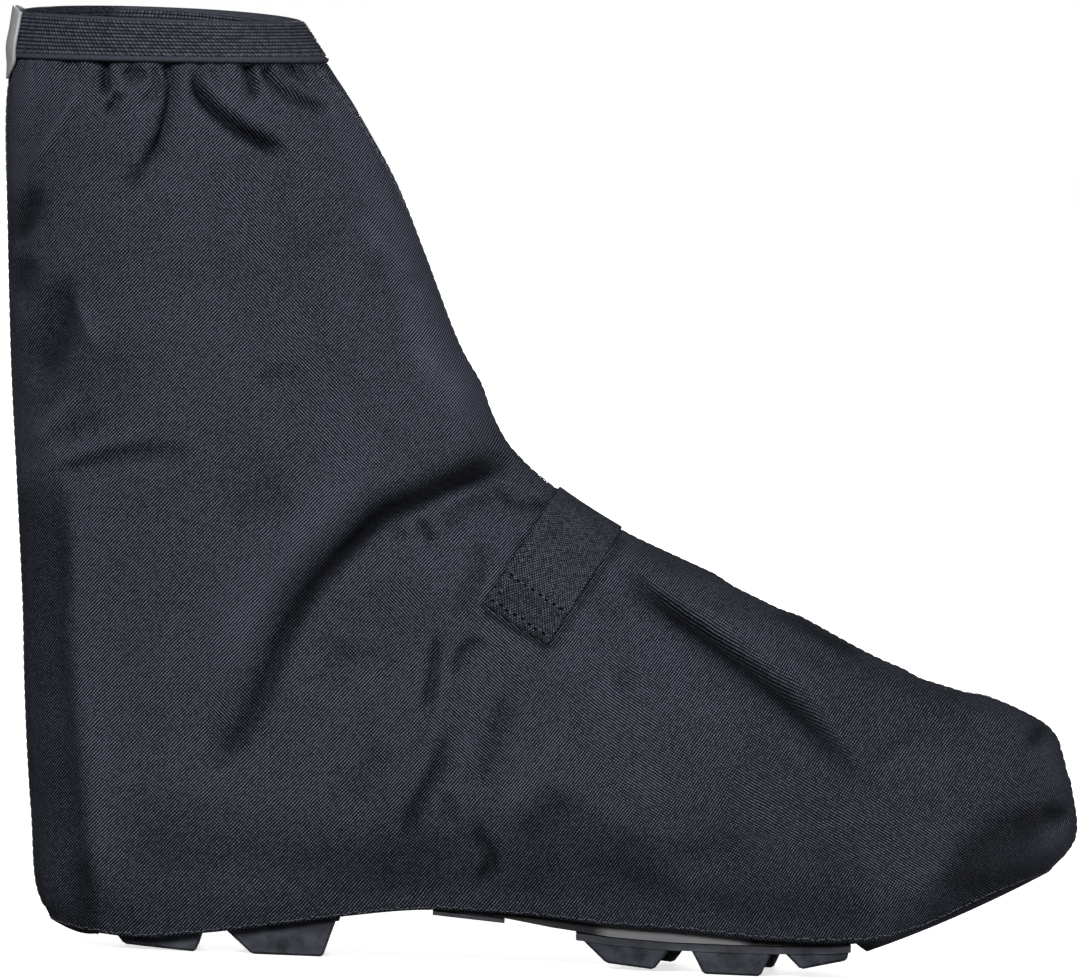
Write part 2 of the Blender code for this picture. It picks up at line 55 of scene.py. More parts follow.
# Rings of the gaiter from the hem (first row) to the rim of the collar (last row).
# back and front: where the ring meets the heel line and the toe and instep line, seen from the side.
# lat and med: half widths on the outer and inner side, at the stations in WIDTH_STATIONS.
# back_round and front_round: shares of the ring's length over which its two ends are rounded.
Level = namedtuple(
    "Level",
    "back_x back_z front_x front_z "
    "lat_heel lat_waist lat_ball lat_toe med_heel med_waist med_ball med_toe back_round front_round",
)
WIDTH_STATIONS = (0.12, 0.42, 0.72, 0.90)
LEVELS = [
    Level(5.8, 6.8, 290.5, 31.6, 32.5, 34.0, 49.5, 42.0, 32.5, 29.5, 46.0, 40.0, 0.135, 0.20),
    Level(1.3, 17.0, 297.5, 41.5, 36.0, 39.0, 54.0, 47.0, 36.0, 35.5, 50.0, 44.0, 0.140, 0.20),
    Level(-0.6, 35.0, 296.2, 54.2, 37.5, 42.0, 54.5, 46.0, 37.5, 38.5, 50.5, 44.0, 0.145, 0.22),
    Level(-2.0, 48.0, 291.6, 69.5, 38.0, 43.0, 50.0, 41.0, 38.0, 40.0, 47.5, 40.0, 0.150, 0.25),
    Level(-3.2, 61.0, 279.0, 77.8, 38.0, 43.0, 45.5, 36.0, 38.0, 41.0, 44.0, 36.0, 0.160, 0.30),
    Level(-4.4, 77.0, 243.0, 88.8, 38.0, 42.5, 42.0, 35.0, 38.0, 41.0, 41.0, 35.0, 0.180, 0.40),
    Level(-5.4, 94.0, 203.0, 107.4, 38.0, 42.0, 40.0, 34.0, 38.0, 41.0, 39.5, 34.0, 0.210, 0.45),
    Level(-6.9, 112.0, 163.0, 124.6, 38.5, 42.0, 40.0, 34.5, 38.5, 41.0, 39.5, 34.5, 0.250, 0.47),
    Level(-9.0, 136.0, 133.4, 144.8, 39.0, 42.0, 40.5, 36.0, 39.0, 41.5, 40.5, 36.0, 0.310, 0.49),
    Level(-11.6, 165.0, 119.5, 168.0, 40.0, 42.0, 41.0, 37.5, 40.0, 42.0, 41.0, 37.5, 0.370, 0.50),
    Level(-14.0, 202.0, 104.7, 202.0, 40.5, 42.0, 41.5, 38.5, 40.5, 42.0, 41.5, 38.5, 0.420, 0.50),
    Level(-15.9, 236.0, 87.6, 236.0, 39.5, 40.5, 40.0, 38.0, 39.5, 40.5, 40.0, 38.0, 0.450, 0.50),
    Level(-14.7, 252.0, 74.5, 254.0, 36.5, 37.2, 37.0, 36.0, 36.5, 37.2, 37.0, 36.0, 0.480, 0.50),
    Level(-13.0, 265.6, 66.4, 265.6, 35.5, 36.2, 36.0, 35.0, 35.5, 36.2, 36.0, 35.0, 0.480, 0.50),
]
# Levels of hem, band, rim and the fabric's top edge; levels where the hem's own line and the toe's swing
# have faded out and where the collar's tilt starts; its tilt on each side, and the toe's swing
HEM_LEVEL = 0.0
BAND_LEVEL = 12.0
RIM_LEVEL = 13.0
FABRIC_TOP_LEVEL = 12.45
HEM_FADES_AT = 5.0
SWING_FADES_AT = 7.0
TILT_STARTS_AT = 10.0
OUTER_TILT = 1.0
INNER_TILT = 3.0
TOE_SWING = 5.0

# Height of the hem along the foot, as points (x, z)
HEM_PATH = [
    (5.8, 6.8), (13.0, 5.0), (22.0, 4.0), (32.0, 3.6), (50.0, 5.6), (70.0, 8.6), (90.0, 11.9),
    (112.0, 14.6), (130.0, 14.8), (146.0, 14.2), (160.0, 13.0), (188.0, 11.9), (212.0, 10.3), (228.0, 10.3),
    (240.0, 11.2), (251.0, 14.4), (262.0, 19.2), (274.0, 25.2), (290.5, 31.6),
]
# Opening under the foot: its back and front, the bow of its front, how far the hem turns in, how far the
# panels under toe and heel hang down, and the toe panel's bulge, which sets in over the lengths LONG_PANEL
OPENING_BACK = 20.0
OPENING_FRONT = 239.5
OPENING_BOW = 4.4
HEM_TURN_IN = 2.5
TOE_PANEL_DROP = 4.2
HEEL_PANEL_DROP = 0.6
TOE_PANEL_BULGE = 1.2
LONG_PANEL = (5.0, 12.0)

# How finely the fabric is meshed
FABRIC_COLUMNS = 400
OUTER_SIDE_COLUMNS = 260
OUTER_RINGS = 198
PANEL_RINGS = 8
INNER_RINGS = 28
INNER_FROM = 0.15
LINING_SHIFTS = (-3, -2, -1, 0, 1, 2, 3)
EVEN_COLUMNS = 0.4
COLLAR_DENSITY = 1.9
COLLAR_DENSE_FROM = 10.6

# Folds given as seen from the outer side: on that side only (lat) or on both. left and right are
# the fold's widths on the two sides of its direction, depth is how far it sinks (below 0 it stands out), and
# its path runs through a few points (x, z). edge is the sharpness of its bottom (2 is round, lower is a
# crease), and start and end are the shares of its length over which it fades.
Fold = namedtuple("Fold", "side left right depth path edge start end", defaults=(2.0, 0.3, 0.3))
FOLDS = [
    # Bend of the ankle: its crease, the hollow that follows it down, the swell above and the lip below
    Fold("both", 2.4, 4.4, 7, (
        (134, 144.6), (121.9, 139), (108.3, 132.4), (96.2, 126), (87.6, 117), (78.8, 106.3),
        (72.1, 95)), 1.6, 0.15, 0.45),
    Fold("both", 2.4, 5, 3.7, (
        (96.2, 125.6), (87.6, 116.8), (78.8, 106.2), (72.1, 95), (68, 84.5), (64.4, 73.5), (59.9, 63),
        (52.4, 53.8), (45, 47)), 1.7, 0.4, 0.22),
    Fold("both", 3, 11, 1.8, (
        (96.2, 125.3), (87.6, 116.5), (78.8, 106), (72.1, 95), (68, 84.5), (64.4, 73.5),
        (59.9, 63)), 2, 0.45, 0.25),
    Fold("both", 7, 8, -2.4, (
        (101, 144), (84.8, 132.6), (74.4, 120.1), (64, 105.5), (58, 92.1), (53.1, 77.7), (48.2, 64.3))),
    Fold("both", 2.2, 1.8, -1.4, ((128, 137), (116.8, 133), (112, 130.5), (100, 123.5)), 2, 0.25, 0.4),
    Fold("lat", 2, 2, 1, ((71.6, 135.9), (67.3, 119.8), (60.8, 104.2), (54.8, 90.9)), 2, 0.3, 0.4),
    Fold("lat", 7, 6, 1.2, ((50, 124), (61, 127.2), (71, 133))),
    # Puckers beside the strap
    Fold("lat", 2, 2, 1.6, ((128, 136.8), (130.4, 133.4), (132.6, 130.8)), 2, 0.2, 0.15),
    Fold("lat", 2.2, 2.2, 1.6, ((131.4, 131.6), (137, 130.8), (143.6, 132.2)), 2, 0.15, 0.2),
    Fold("lat", 2.6, 2.4, 1.9, (
        (128.3, 133.5), (122.8, 130.8), (117.3, 127.4), (113, 122.4)), 2, 0.15, 0.2),
    Fold("lat", 1.8, 2, 1.8, ((107.4, 125.8), (109, 122.4), (111.4, 119.4)), 2, 0.2, 0.2),
    Fold("lat", 2, 2, 1.5, ((98.4, 123.4), (101, 121.3), (104, 122)), 2, 0.25, 0.25),
    Fold("lat", 2.8, 3.2, 2.3, (
        (126, 121), (124, 112.2), (121.4, 104.5), (120.5, 100), (123.5, 95)), 2, 0.2, 0.25),
    Fold("lat", 2, 2, 1, ((136.4, 124.4), (134, 119.5))),
    Fold("lat", 2, 2, 1.7, ((155.3, 104.9), (160.9, 102.6), (167, 101)), 2, 0.3, 0.4),
    # Fold along the vamp, the hollow beside its start, and the softer ones around it
    Fold("both", 2.2, 3.8, 4.2, (
        (163, 116.8), (172.6, 108.2), (182.8, 101), (197.2, 91), (209.6, 82.2), (219.8, 73.3), (229, 63.9),
        (238.5, 55.5), (243, 51)), 1.7, 0.25, 0.38),
    Fold("both", 2.2, 8.5, 1.3, (
        (166, 114), (176, 105.4), (186, 98.6), (198, 90.4), (208, 83)), 2.2, 0.25, 0.45),
    Fold("both", 5, 3, -2, ((177.4, 110.8), (190.9, 103.2), (205.5, 93.2), (220.1, 82), (231.5, 69.6))),
    Fold("lat", 1.6, 1.6, 1.6, ((184, 108.2), (190, 105.6), (197, 102.4)), 2, 0.3, 0.4),
    Fold("both", 6, 6, 1, ((190, 112), (203, 106.5), (217, 100))),
    Fold("both", 6, 6, 1.2, ((245, 88.5), (258, 84), (271, 80))),
    Fold("lat", 2.2, 2.2, 1.5, ((216, 93.6), (222.5, 89.4), (228, 86))),
    Fold("lat", 1.8, 2.2, 2.2, ((234.8, 60.2), (243.8, 68.8), (252.7, 77.3)), 2, 0.3, 0.4),
    Fold("lat", 1.8, 2.2, 2.2, ((169.2, 86.5), (166.6, 82.1), (166.5, 78.2)), 2, 0.3, 0.4),
    Fold("lat", 2, 2, 0.8, ((211.3, 45.6), (217.8, 48.6), (224.3, 50.5)), 2, 0.3, 0.4),
    # The side tucks in above the hem
    Fold("both", 15, 8, 1.7, (
        (17.9, 27), (39.7, 30), (67.2, 26.8), (100.2, 24.5), (133, 24), (160.8, 23.3), (188.2, 21.1),
        (215.6, 21.7), (242.7, 26.6)), 2, 0.05, 0.08),
    Fold("lat", 6, 5, 2.2, ((138, 33), (145.5, 42), (152.5, 51)), 2, 0.3, 0.35),
    Fold("lat", 5, 4, 1.4, ((180.2, 31.7), (192.1, 33.3), (201.7, 40.3)), 2, 0.3, 0.35),
    Fold("lat", 1.3, 2.2, 3.4, (
        (125.2, 41.5), (127.4, 36.6), (130, 32.9), (131.7, 29.1), (129.7, 24.6),
        (126.3, 18.9)), 1.7, 0.3, 0.35),
    # Drawn lines from the strap down to the hem
    Fold("lat", 1.3, 1.6, 2.4, ((113.6, 96), (112.9, 86), (112, 76.8), (110.2, 68)), 1.8),
    Fold("lat", 1.8, 1.8, -1.3, ((115.2, 92), (114.8, 78), (113, 63), (109.6, 52.5), (105.3, 42.5))),
    Fold("both", 2.4, 2.6, 3, (
        (119.4, 70), (117, 62), (114.6, 54.6), (110.9, 47), (107.8, 39.2), (105.8, 29)), 1.9, 0.35),
    Fold("lat", 3.6, 3.6, 1.4, ((98, 63), (93.1, 48.6), (89.5, 40))),
    Fold("both", 2.6, 3, 1.9, (
        (137, 86), (133.6, 75), (131, 65.2), (129, 57.6), (126.6, 43)), 2, 0.35, 0.35),
    Fold("lat", 1.8, 1.8, 1.8, ((118, 49), (118.2, 44), (118.4, 38))),
    Fold("lat", 1.6, 1.6, 2.2, ((128.6, 91.7), (122.6, 90.3), (119, 84.7), (118.9, 80.5))),
    Fold("lat", 2, 2, -1.2, ((138.7, 51.5), (135.5, 44.8), (134.5, 38))),
    Fold("lat", 5, 5, 1.4, ((87, 92), (83.6, 81.1), (81, 72))),
    Fold("lat", 4, 4, 1, ((84.6, 83.9), (94.4, 84.3), (104.3, 83))),
    # Edge where the side turns to the heel
    Fold("both", 9, 3.5, -2, (
        (7.1, 133.8), (9.7, 108.8), (10.5, 84.7), (13.7, 63), (16.8, 35.7), (21.4, 9.6)), 2, 0.15, 0.1),
    Fold("both", 3.5, 6, 1.6, (
        (2.2, 132.6), (4.3, 108.6), (4.8, 84.5), (7.8, 62.8), (11.7, 35.5), (16, 9.4)), 2, 0.2, 0.1),
    # Back of the ankle
    Fold("both", 2.2, 4, 2.5, ((1.7, 133.5), (13.5, 137.6), (28.7, 141.3), (45, 139.6)), 1.9, 0.2, 0.4),
    Fold("both", 2.4, 2.4, -1.7, ((-3, 136), (9.3, 139.9), (20.9, 144.6), (33, 146)), 2, 0.3, 0.4),
    Fold("both", 3, 2.6, 1.9, ((1, 141), (8, 145.8), (16, 151))),
    Fold("both", 2.4, 2.4, -1.8, ((-6, 142), (1.6, 149.3), (5, 154), (8.4, 160)), 2, 0.2),
    # Back of the shaft
    Fold("both", 2, 2, -2, ((6.8, 246.1), (-0.4, 233.1), (-9, 219.1)), 2, 0.25),
    Fold("both", 3.5, 3.5, 3.1, ((-5, 217), (-8.1, 209.1), (-12.2, 198.9)), 2, 0.3, 0.2),
    Fold("both", 4, 4, 2.6, ((-6, 196), (-9.1, 188), (-11.1, 181.6)), 2, 0.3, 0.2),
    Fold("both", 4.5, 7, 3.8, ((3.2, 192), (3.4, 179.5), (0.7, 169.3), (-5.8, 159)), 2, 0.25, 0.25),
    Fold("both", 3, 1.8, -2.2, ((4.5, 190), (7.4, 182), (11, 175), (16, 167.5))),
    # Front of the shaft
    Fold("both", 2.5, 4, -2.4, ((87, 209.5), (95.7, 201.4), (104.2, 193.5)), 2, 0.3, 0.2),
    Fold("both", 3.5, 3.5, 1.4, ((91, 201.4), (97, 193.3), (103.5, 187))),
    Fold("lat", 9, 9, 1.5, ((62, 199), (74.7, 201), (86, 204))),
    Fold("both", 4, 5, -2.4, ((100, 177), (108.9, 169.1), (116.3, 163), (120.4, 154))),
    Fold("lat", 2.6, 2.6, 1.7, ((58, 161.5), (67, 164.6), (75, 162.8))),
    # Gathers below the collar
    Fold("lat", 1.5, 1.5, 1.4, ((2.1, 251.6), (1, 248.5), (-1, 246)), 2, 0.02, 0.5),
    Fold("lat", 1.3, 1.3, 3.8, ((12.2, 252.7), (12.5, 247), (12.7, 241.5)), 1.9, 0.02),
    Fold("lat", 1.5, 1.3, 2.6, ((16.6, 243.5), (15.2, 239.4), (12.8, 235.4)), 1.9, 0.15, 0.35),
    Fold("lat", 1.6, 1.8, 2.8, ((18.4, 250), (21, 247.6), (23.4, 250.2)), 2, 0.1, 0.1),
    Fold("lat", 1.2, 1.4, 2, ((26, 251), (27.2, 246.3), (24.8, 241.3), (22.6, 236)), 2, 0.1, 0.4),
    Fold("lat", 2.4, 1.4, 3.6, (
        (29.5, 252.6), (31.2, 246), (30.2, 236.6), (28.3, 229), (25.3, 222.8),
        (22.8, 218.6)), 1.8, 0.05, 0.4),
    Fold("lat", 2.2, 1.9, 6.3, (
        (37.6, 253.7), (39, 245), (43.6, 239.4), (49.8, 234.9), (57.2, 230.9),
        (67.5, 227.6)), 1.8, 0.24, 0.22),
    Fold("lat", 1.2, 1.2, 1.8, ((42.6, 251.2), (44.1, 247.6), (46.1, 244.5)), 2, 0.15, 0.4),
    Fold("lat", 1.6, 2, 3.2, ((52.4, 253.6), (54.6, 248.6), (55.2, 242)), 2, 0.02),
    Fold("lat", 1.6, 1.3, 3.6, (
        (57.4, 252.6), (60, 249), (64, 245.3), (70.3, 242.4), (79, 240.6)), 1.8, 0.05, 0.25),
    Fold("lat", 1.4, 1.3, 2.6, ((62.6, 253.8), (66, 251.4), (72.4, 249.8)), 1.8, 0.05),
    # Toe
    Fold("both", 4.5, 7, 2.4, ((259, 20), (267, 35), (276, 44), (293, 48)), 2, 0.25, 0.25),
    Fold("both", 4, 4, 0.7, ((291, 70), (294, 64), (296, 57))),
    Fold("lat", 2.4, 2.4, 3, ((287.6, 49), (291.5, 48.2), (294.5, 45))),
]
# Painted shade, where less of the weave's light shows, and painted light, in the same columns; depth is the
# share of its light that is lost, or gained where it is below 0
PAINTED_SHADES = [
    # Heel, a darker panel with painted shade where it turns away, and back of the shaft: painted shade in its
    # wedges, painted light on the edges beside them
    Fold("both", 5, 40, 0.42, (
        (1.5, 138), (4.7, 108.8), (5.5, 84.7), (8.7, 63), (11.8, 35.7), (16.4, 2)), 4, 0.08, 0.01),
    Fold("both", 7, 40, 0.15, ((-9, 250), (-9, 200), (-6, 160), (-4, 138)), 3, 0.1, 0.1),
    Fold("both", 4, 5, 0.34, ((-4.6, 215), (-8.5, 206.3), (-12, 198)), 2, 0.2, 0.15),
    Fold("both", 4, 7, 0.22, ((-7, 196), (-10, 186)), 2, 0.3, 0.2),
    Fold("both", 6.5, 8, 0.3, ((1, 194), (1.5, 182), (3.5, 170), (4.5, 156), (8, 147)), 2.4, 0.25, 0.25),
    Fold("both", 1.6, 1.6, -0.45, ((6.4, 184), (10.5, 175), (15, 168)), 2, 0.25, 0.25),
    Fold("both", 1.8, 1.8, -0.35, ((6, 244), (-1.7, 231.6), (-8, 221)), 2, 0.2, 0.2),
    Fold("both", 1.6, 1.6, -0.3, ((-2.5, 205), (-8.8, 200)), 2, 0.25, 0.25),
    Fold("both", 2, 2, -0.3, ((-6.5, 142.7), (1.6, 149.3), (7.3, 158.3)), 2, 0.25, 0.25),
    # Painted light on the front of the shaft, its back edge and the fabric between the gathers
    Fold("both", 2, 3, -0.5, ((85, 212), (95, 202), (104, 192)), 2, 0.2, 0.2),
    Fold("both", 4, 5, -0.3, ((100, 177), (108.9, 169.1), (116.3, 163), (121, 154)), 2, 0.25, 0.25),
    Fold("both", 8, 5, -0.85, (
        (75, 250), (83, 235), (92, 215), (100, 195), (108, 175), (118, 158), (128, 147)), 2, 0.05, 0.15),
    Fold("both", 6, 4, -0.5, ((-9.5, 250), (-12.5, 230), (-14, 210)), 2, 0.1, 0.25),
    Fold("both", 14, 14, -0.1, ((90, 196), (96, 168), (104, 148)), 2.4, 0.2, 0.2),
    Fold("both", 9, 14, -0.15, ((-12, 246), (75, 246)), 2, 0.05, 0.05),
    # Gathers below the collar: painted shade in their creases, painted light on the folds between them, and
    # the front seam's edge as a painted light line beside painted shade
    Fold("lat", 1.6, 1.6, 0.3, ((11.8, 252.1), (12.4, 243.5)), 2, 0.05),
    Fold("lat", 1.4, 1.4, 0.3, ((16.5, 244), (12.4, 236)), 2, 0.2),
    Fold("lat", 1.6, 2.6, 0.42, ((27.5, 250), (29.9, 240.7), (27.9, 231.4), (20, 215)), 2, 0.1, 0.2),
    Fold("lat", 1.8, 3, 0.3, ((28.6, 234), (25.6, 225), (20, 215)), 2, 0.3, 0.25),
    Fold("lat", 1.4, 1.4, 0.28, ((53.4, 253), (54.6, 247), (53.6, 241)), 2, 0.05, 0.25),
    Fold("lat", 1.2, 1.4, 0.38, ((62, 252.6), (64.8, 248.5), (69.6, 244.7), (79, 241)), 2, 0.15, 0.25),
    Fold("lat", 3, 3, -0.25, ((24.5, 244), (24, 233), (20.5, 222)), 2, 0.25, 0.25),
    Fold("lat", 1.8, 1.8, -0.25, ((42.5, 251), (45, 243.5), (51, 238.5)), 2, 0.15, 0.25),
    Fold("lat", 1.2, 1.2, -0.45, ((72.7, 251.6), (82.1, 238.5), (91.4, 221.8), (99.2, 204.9)), 2, 0.05),
    Fold("lat", 1.4, 1.4, 0.25, ((75.4, 251), (84.8, 238), (94, 221.6), (101.6, 205)), 2, 0.05),
    # Painted shade above the hem, where the side tucks in
    Fold("both", 8, 30, 0.28, (
        (8, 18), (60, 25), (100, 28), (130, 29), (160, 25), (215, 15), (242, 16)), 3, 0.03, 0.03),
    Fold("lat", 6, 9, 0.3, (
        (138, 30), (145, 40), (151.5, 46), (157, 40), (164, 36.5), (178, 33), (192, 31)), 5, 0.1),
    Fold("lat", 3.5, 3.5, 0.15, ((142, 31), (143.5, 19))),
    Fold("lat", 6, 6, 0.14, ((106, 36), (117, 38), (128, 36)), 2.5, 0.25, 0.25),
    # Painted shade on top of the vamp, along its edge and on the toe, painted light on the toe's bulges
    Fold("both", 14, 8, 0.2, ((163, 124), (203, 107), (243, 88), (272, 78)), 2, 0.1, 0.15),
    Fold("lat", 6, 1.8, 0.45, ((207, 103.4), (219.5, 97.6), (226.6, 94.2), (236, 90.2)), 2, 0.25, 0.25),
    Fold("both", 30, 40, 0.29, ((160, 60), (230, 60), (300, 60)), 3, 0.3, 0.02),
    Fold("both", 7, 12, 0.36, ((256, 12), (265, 26), (272, 38), (280, 44), (290, 47)), 2.2, 0.15, 0.15),
    Fold("both", 6, 6, -0.4, ((287, 44), (292, 38), (296, 34)), 2, 0.25, 0.25),
    Fold("both", 5, 5, -0.3, ((285, 70), (290, 62), (293, 54))),
    Fold("lat", 1.8, 1.8, 0.55, ((281.6, 68), (285, 71), (288, 74))),
    Fold("lat", 3, 2.6, 0.4, ((279, 44), (285, 47.5), (290, 49), (296, 48.5)), 2, 0.25, 0.15),
    # Painted shade in the cores of the ankle crease, of the vamp fold and of the puckers
    Fold("both", 2.2, 4.2, 0.5, (
        (134.5, 145), (121.9, 139), (108.3, 132.4), (96.2, 126), (87.6, 117), (78.8, 106.3)), 2, 0.12, 0.4),
    Fold("both", 1.7, 3.4, 0.42, (
        (163.7, 115.5), (172.6, 108.2), (182.8, 101), (197.2, 91), (209.6, 82.2), (219.8, 73.3),
        (229, 63.9), (238.5, 55.5), (243, 51)), 2, 0.1, 0.4),
    Fold("lat", 1.4, 1.4, 0.4, ((128.6, 136), (132.2, 131.3), (137, 130.8), (143.6, 132.2)), 2, 0.15, 0.15),
    Fold("lat", 1.6, 1.6, 0.25, (
        (128.3, 133.5), (122.8, 130.8), (117.3, 127.4), (113, 122.4)), 2, 0.15, 0.2),
    Fold("lat", 1.3, 1.3, 0.5, ((107.4, 125.6), (109, 122.4), (111.2, 119.8)), 2, 0.15, 0.15),
    Fold("lat", 2.2, 2.4, 0.2, ((126, 121), (124, 112.2), (121.4, 104.5), (120.5, 98)), 2, 0.2, 0.25),
    # Painted light on the swell above the ankle crease
    Fold("both", 6, 6, -0.2, (
        (101, 144), (84.8, 132.6), (74.4, 120.1), (64, 105.5), (58, 92), (53, 77.7),
        (46, 62)), 2, 0.2, 0.2),
    # Drawn lines from the strap down to the hem: painted shade in them, painted light on the edges beside
    # them
    Fold("lat", 1.4, 1.4, 0.28, ((113.6, 96), (112.9, 86), (112, 76.8), (110.2, 68))),
    Fold("lat", 1.4, 1.4, 0.28, ((128.6, 91.7), (122.6, 90.3), (119, 84.7), (118.9, 80.5))),
    Fold("lat", 2.2, 2.2, 0.22, ((134.4, 77), (131, 65.2), (129, 57.6), (127, 47))),
    Fold("lat", 2, 2, 0.24, ((119.4, 70), (114.6, 54.6), (107.8, 39.2), (105.6, 28))),
    Fold("lat", 1.6, 1.6, -0.16, ((116.5, 93), (115.6, 78), (113.6, 63))),
    Fold("lat", 2.4, 2.4, -0.16, ((125, 74), (121.5, 58), (117.5, 42))),
    Fold("lat", 2.2, 2.2, -0.2, ((139.5, 53), (135.5, 44.8), (134.2, 36))),
    # Painted shadows along the edges of the strap
    Fold("lat", 1.1, 1.1, 0.5, ((144.2, 131.6), (125.2, 100.8)), 2, 0.02, 0.02),
    Fold("lat", 1, 1, 0.65, ((165, 122.6), (145.4, 90)), 2, 0.04, 0.02),
    Fold("lat", 1, 1, 0.65, ((145.2, 90.2), (125.6, 100.4)), 2, 0.02, 0.02),
]
# Patches where the weave's falling diagonal lines show instead of its rising ones, in the same columns; depth
# is the share that changes over
PATCHES = [
    # Front of the shaft and gathers
    Fold("both", 11, 11, 0.5, ((52.5, 229), (55.3, 209), (66, 178), (82.7, 153), (96.4, 133)), 3, 0.1, 0.1),
    Fold("both", 7, 7, 0.45, ((4.8, 243), (16.4, 239)), 3),
    Fold("both", 5, 5, 0.45, ((28, 238), (29, 224)), 3),
    # Side of the foot
    Fold("both", 6, 6, 0.4, ((101.6, 111), (104.7, 90)), 3, 0.25, 0.25),
    Fold("both", 10, 10, 0.6, ((119, 54), (124, 72), (130, 86), (137, 102)), 4, 0.15, 0.15),
    Fold("both", 8, 8, 0.3, ((125.7, 66), (127.5, 48)), 3, 0.25, 0.25),
    Fold("both", 8, 8, 0.45, ((57, 77), (58.5, 55)), 3, 0.25, 0.25),
    Fold("both", 11, 11, 0.5, ((175.4, 91), (164.5, 76), (172.3, 59), (162, 48)), 3, 0.2, 0.2),
    # Lower part of the toe
    Fold("both", 12, 12, 0.5, ((190, 54), (218.5, 48), (236, 43), (256, 37), (290, 52)), 3, 0.15, 0.1),
]
# Steps along a path, reach of a fold in widths, distance over which a fold of one side ends at the middle of
# the shoe, and how much more the folds move the fabric sideways, in full from a distance from the middle
FOLD_STEPS = 40
FOLD_REACH = 3
SIDE_BLEND = 16.0
SIDE_PRESS = 1.6
PRESS_FROM = 16.0

# Light lost in a trough, as painted shade: the depth that would lose all of it, how fast it falls with
# depth and the least that stays. RIDGE_HEIGHT is the height of a ridge that would double its light, as
# painted light; the next is the range of all painted shading, and PANEL_TONE how much lighter the panels
# under the foot are drawn
CAVITY_DEPTH = 6.5
CAVITY_POWER = 1.25
CAVITY_LEAST = 0.06
RIDGE_HEIGHT = 9.0
PAINTED_SHADING_RANGE = (0.25, 2.0)
PANEL_TONE = 2.5

# The seam at the back keeps the fabric straight: half width over which folds fade, and where the back ends
BACK_CLEAR = (3.0, 14.0)
BACK_ENDS_AT = 40.0

# Small pleats all round under the collar, and the slight waviness of the whole fabric
PLEATS = 46
PLEAT_DEPTH = (0.5, 1.3)
PLEAT_REACH = (4.0, 9.0)
PLEAT_WIDTH = (1.0, 1.8)
PLEAT_SLANT = 0.35
PLEAT_STRAY = 0.3
PLEAT_SEED = 5
WAVE_SEED = 11
WAVE_COUNT = 10
WAVE_LENGTH = 34.0
WAVE_SPREAD = (0.6, 1.6)
WAVE_HEIGHT = 0.16
FLAT_ABOVE_HEM = 6.0
HEM_KEEPS = 0.25
FLAT_BELOW_BAND = 0.06

# Strap over the instep
STRAP_RIDGE_BACK = 145.5
STRAP_RIDGE_FRONT = 164.0
STRAP_DROP = (-19.5, -32.6)
STRAP_THICKNESS = 1.0
STRAP_LEVELS = (6.0, 9.0)
STRAP_MIDDLE_LEVEL = 7.3
STRAP_LEVEL_STEPS = 200
STRAP_RUN_CELLS = 150
STRAP_ACROSS_CELLS = 28
STRAP_EDGE_ROUND = 0.5
STRAP_UNDERSIDE_ROUND = 0.5
STRAP_LENGTH = 96.0
STRAP_WIDTH = 20.5
STRAP_CLEAR = (9.6, 11.6)
STRAP_SHADE = (0.84, 0.87, 0.26)
TAPE_PITCH = 0.58

# Knitted collar band
BAND_LAYER = 1.1
BAND_BULGE = 0.35
BAND_ROWS = 10
BAND_PLAIN = 0.85
BAND_ROW_SPAN = (0.11, 0.93)
BAND_ROW_RISE = 0.30
BAND_LIP = (0.035, 0.022, 0.50)
LOOP_TURNS = (0.79, 0.82)
BAND_COLUMNS = 300
BAND_STEPS = 84
BAND_HEIGHT = 12.6
BAND_RIB_POWER = 0.7
BAND_ROUND_FROM = 0.9
BAND_CLEARANCE = 0.06
COLLAR_GIRTH = 236.0

# Reflective tab at the back of the collar
TAB_HALF_TURNS = (0.020, 0.046, 0.054, 0.055, 0.055)
TAB_LEVELS = (11.55, 11.85, 12.2, 12.6, 13.0)
TAB_STAND_OFF = (0.3, 0.8, 1.8, 1.75, 1.7)
TAB_THICKNESS = 0.8
TAB_RISE = 1.3
TAB_SLANT = 1.3
TAB_ROWS = 41
TAB_COLUMNS = 25

# Lapped seams: the middle of each strip goes through these levels and turns; the last value is the share of
# its light that shows, as painted shade
SeamPoint = namedtuple("SeamPoint", "level turn tone")
FRONT_SEAM = [
    SeamPoint(0.4, 0.505, 0.6),
    SeamPoint(4.0, 0.506, 0.4),
    SeamPoint(8.0, 0.508, 0.4),
    SeamPoint(9.0, 0.506, 0.8),
    SeamPoint(10.0, 0.496, 1.0),
    SeamPoint(11.0, 0.468, 1.0),
    SeamPoint(12.0, 0.440, 1.0),
]
BACK_SEAM = [SeamPoint(0.4, 0.004, 0.9), SeamPoint(11.6, 0.004, 0.9)]
SEAM_HALF_WIDTH = 2.2
SEAM_LIFT = 0.22
SEAM_SUNK = 0.5
SEAM_STEPS = 420
SEAM_OFFSETS = np.array([-1.0, -0.85, -0.4, 0.0, 0.4, 0.85, 1.0])
SEAM_PROFILE = np.array([-0.1, 0.8, 1.0, 1.0, 1.0, 0.8, -0.1])
SEAM_STITCH_ROWS = (-0.62, 0.62)

# Stitches: pitch, start of the first one as a share of the pitch, length, radius and how far they stray
Thread = namedtuple("Thread", "pitch start length radius stray")
HEM_THREAD = Thread(1.5, 0.5, 1.2, 0.15, 0.50)
HEM_THREAD_LEVEL = 0.07
STRAP_THREAD = Thread(2.4, 0.5, 1.2, 0.17, 0.40)
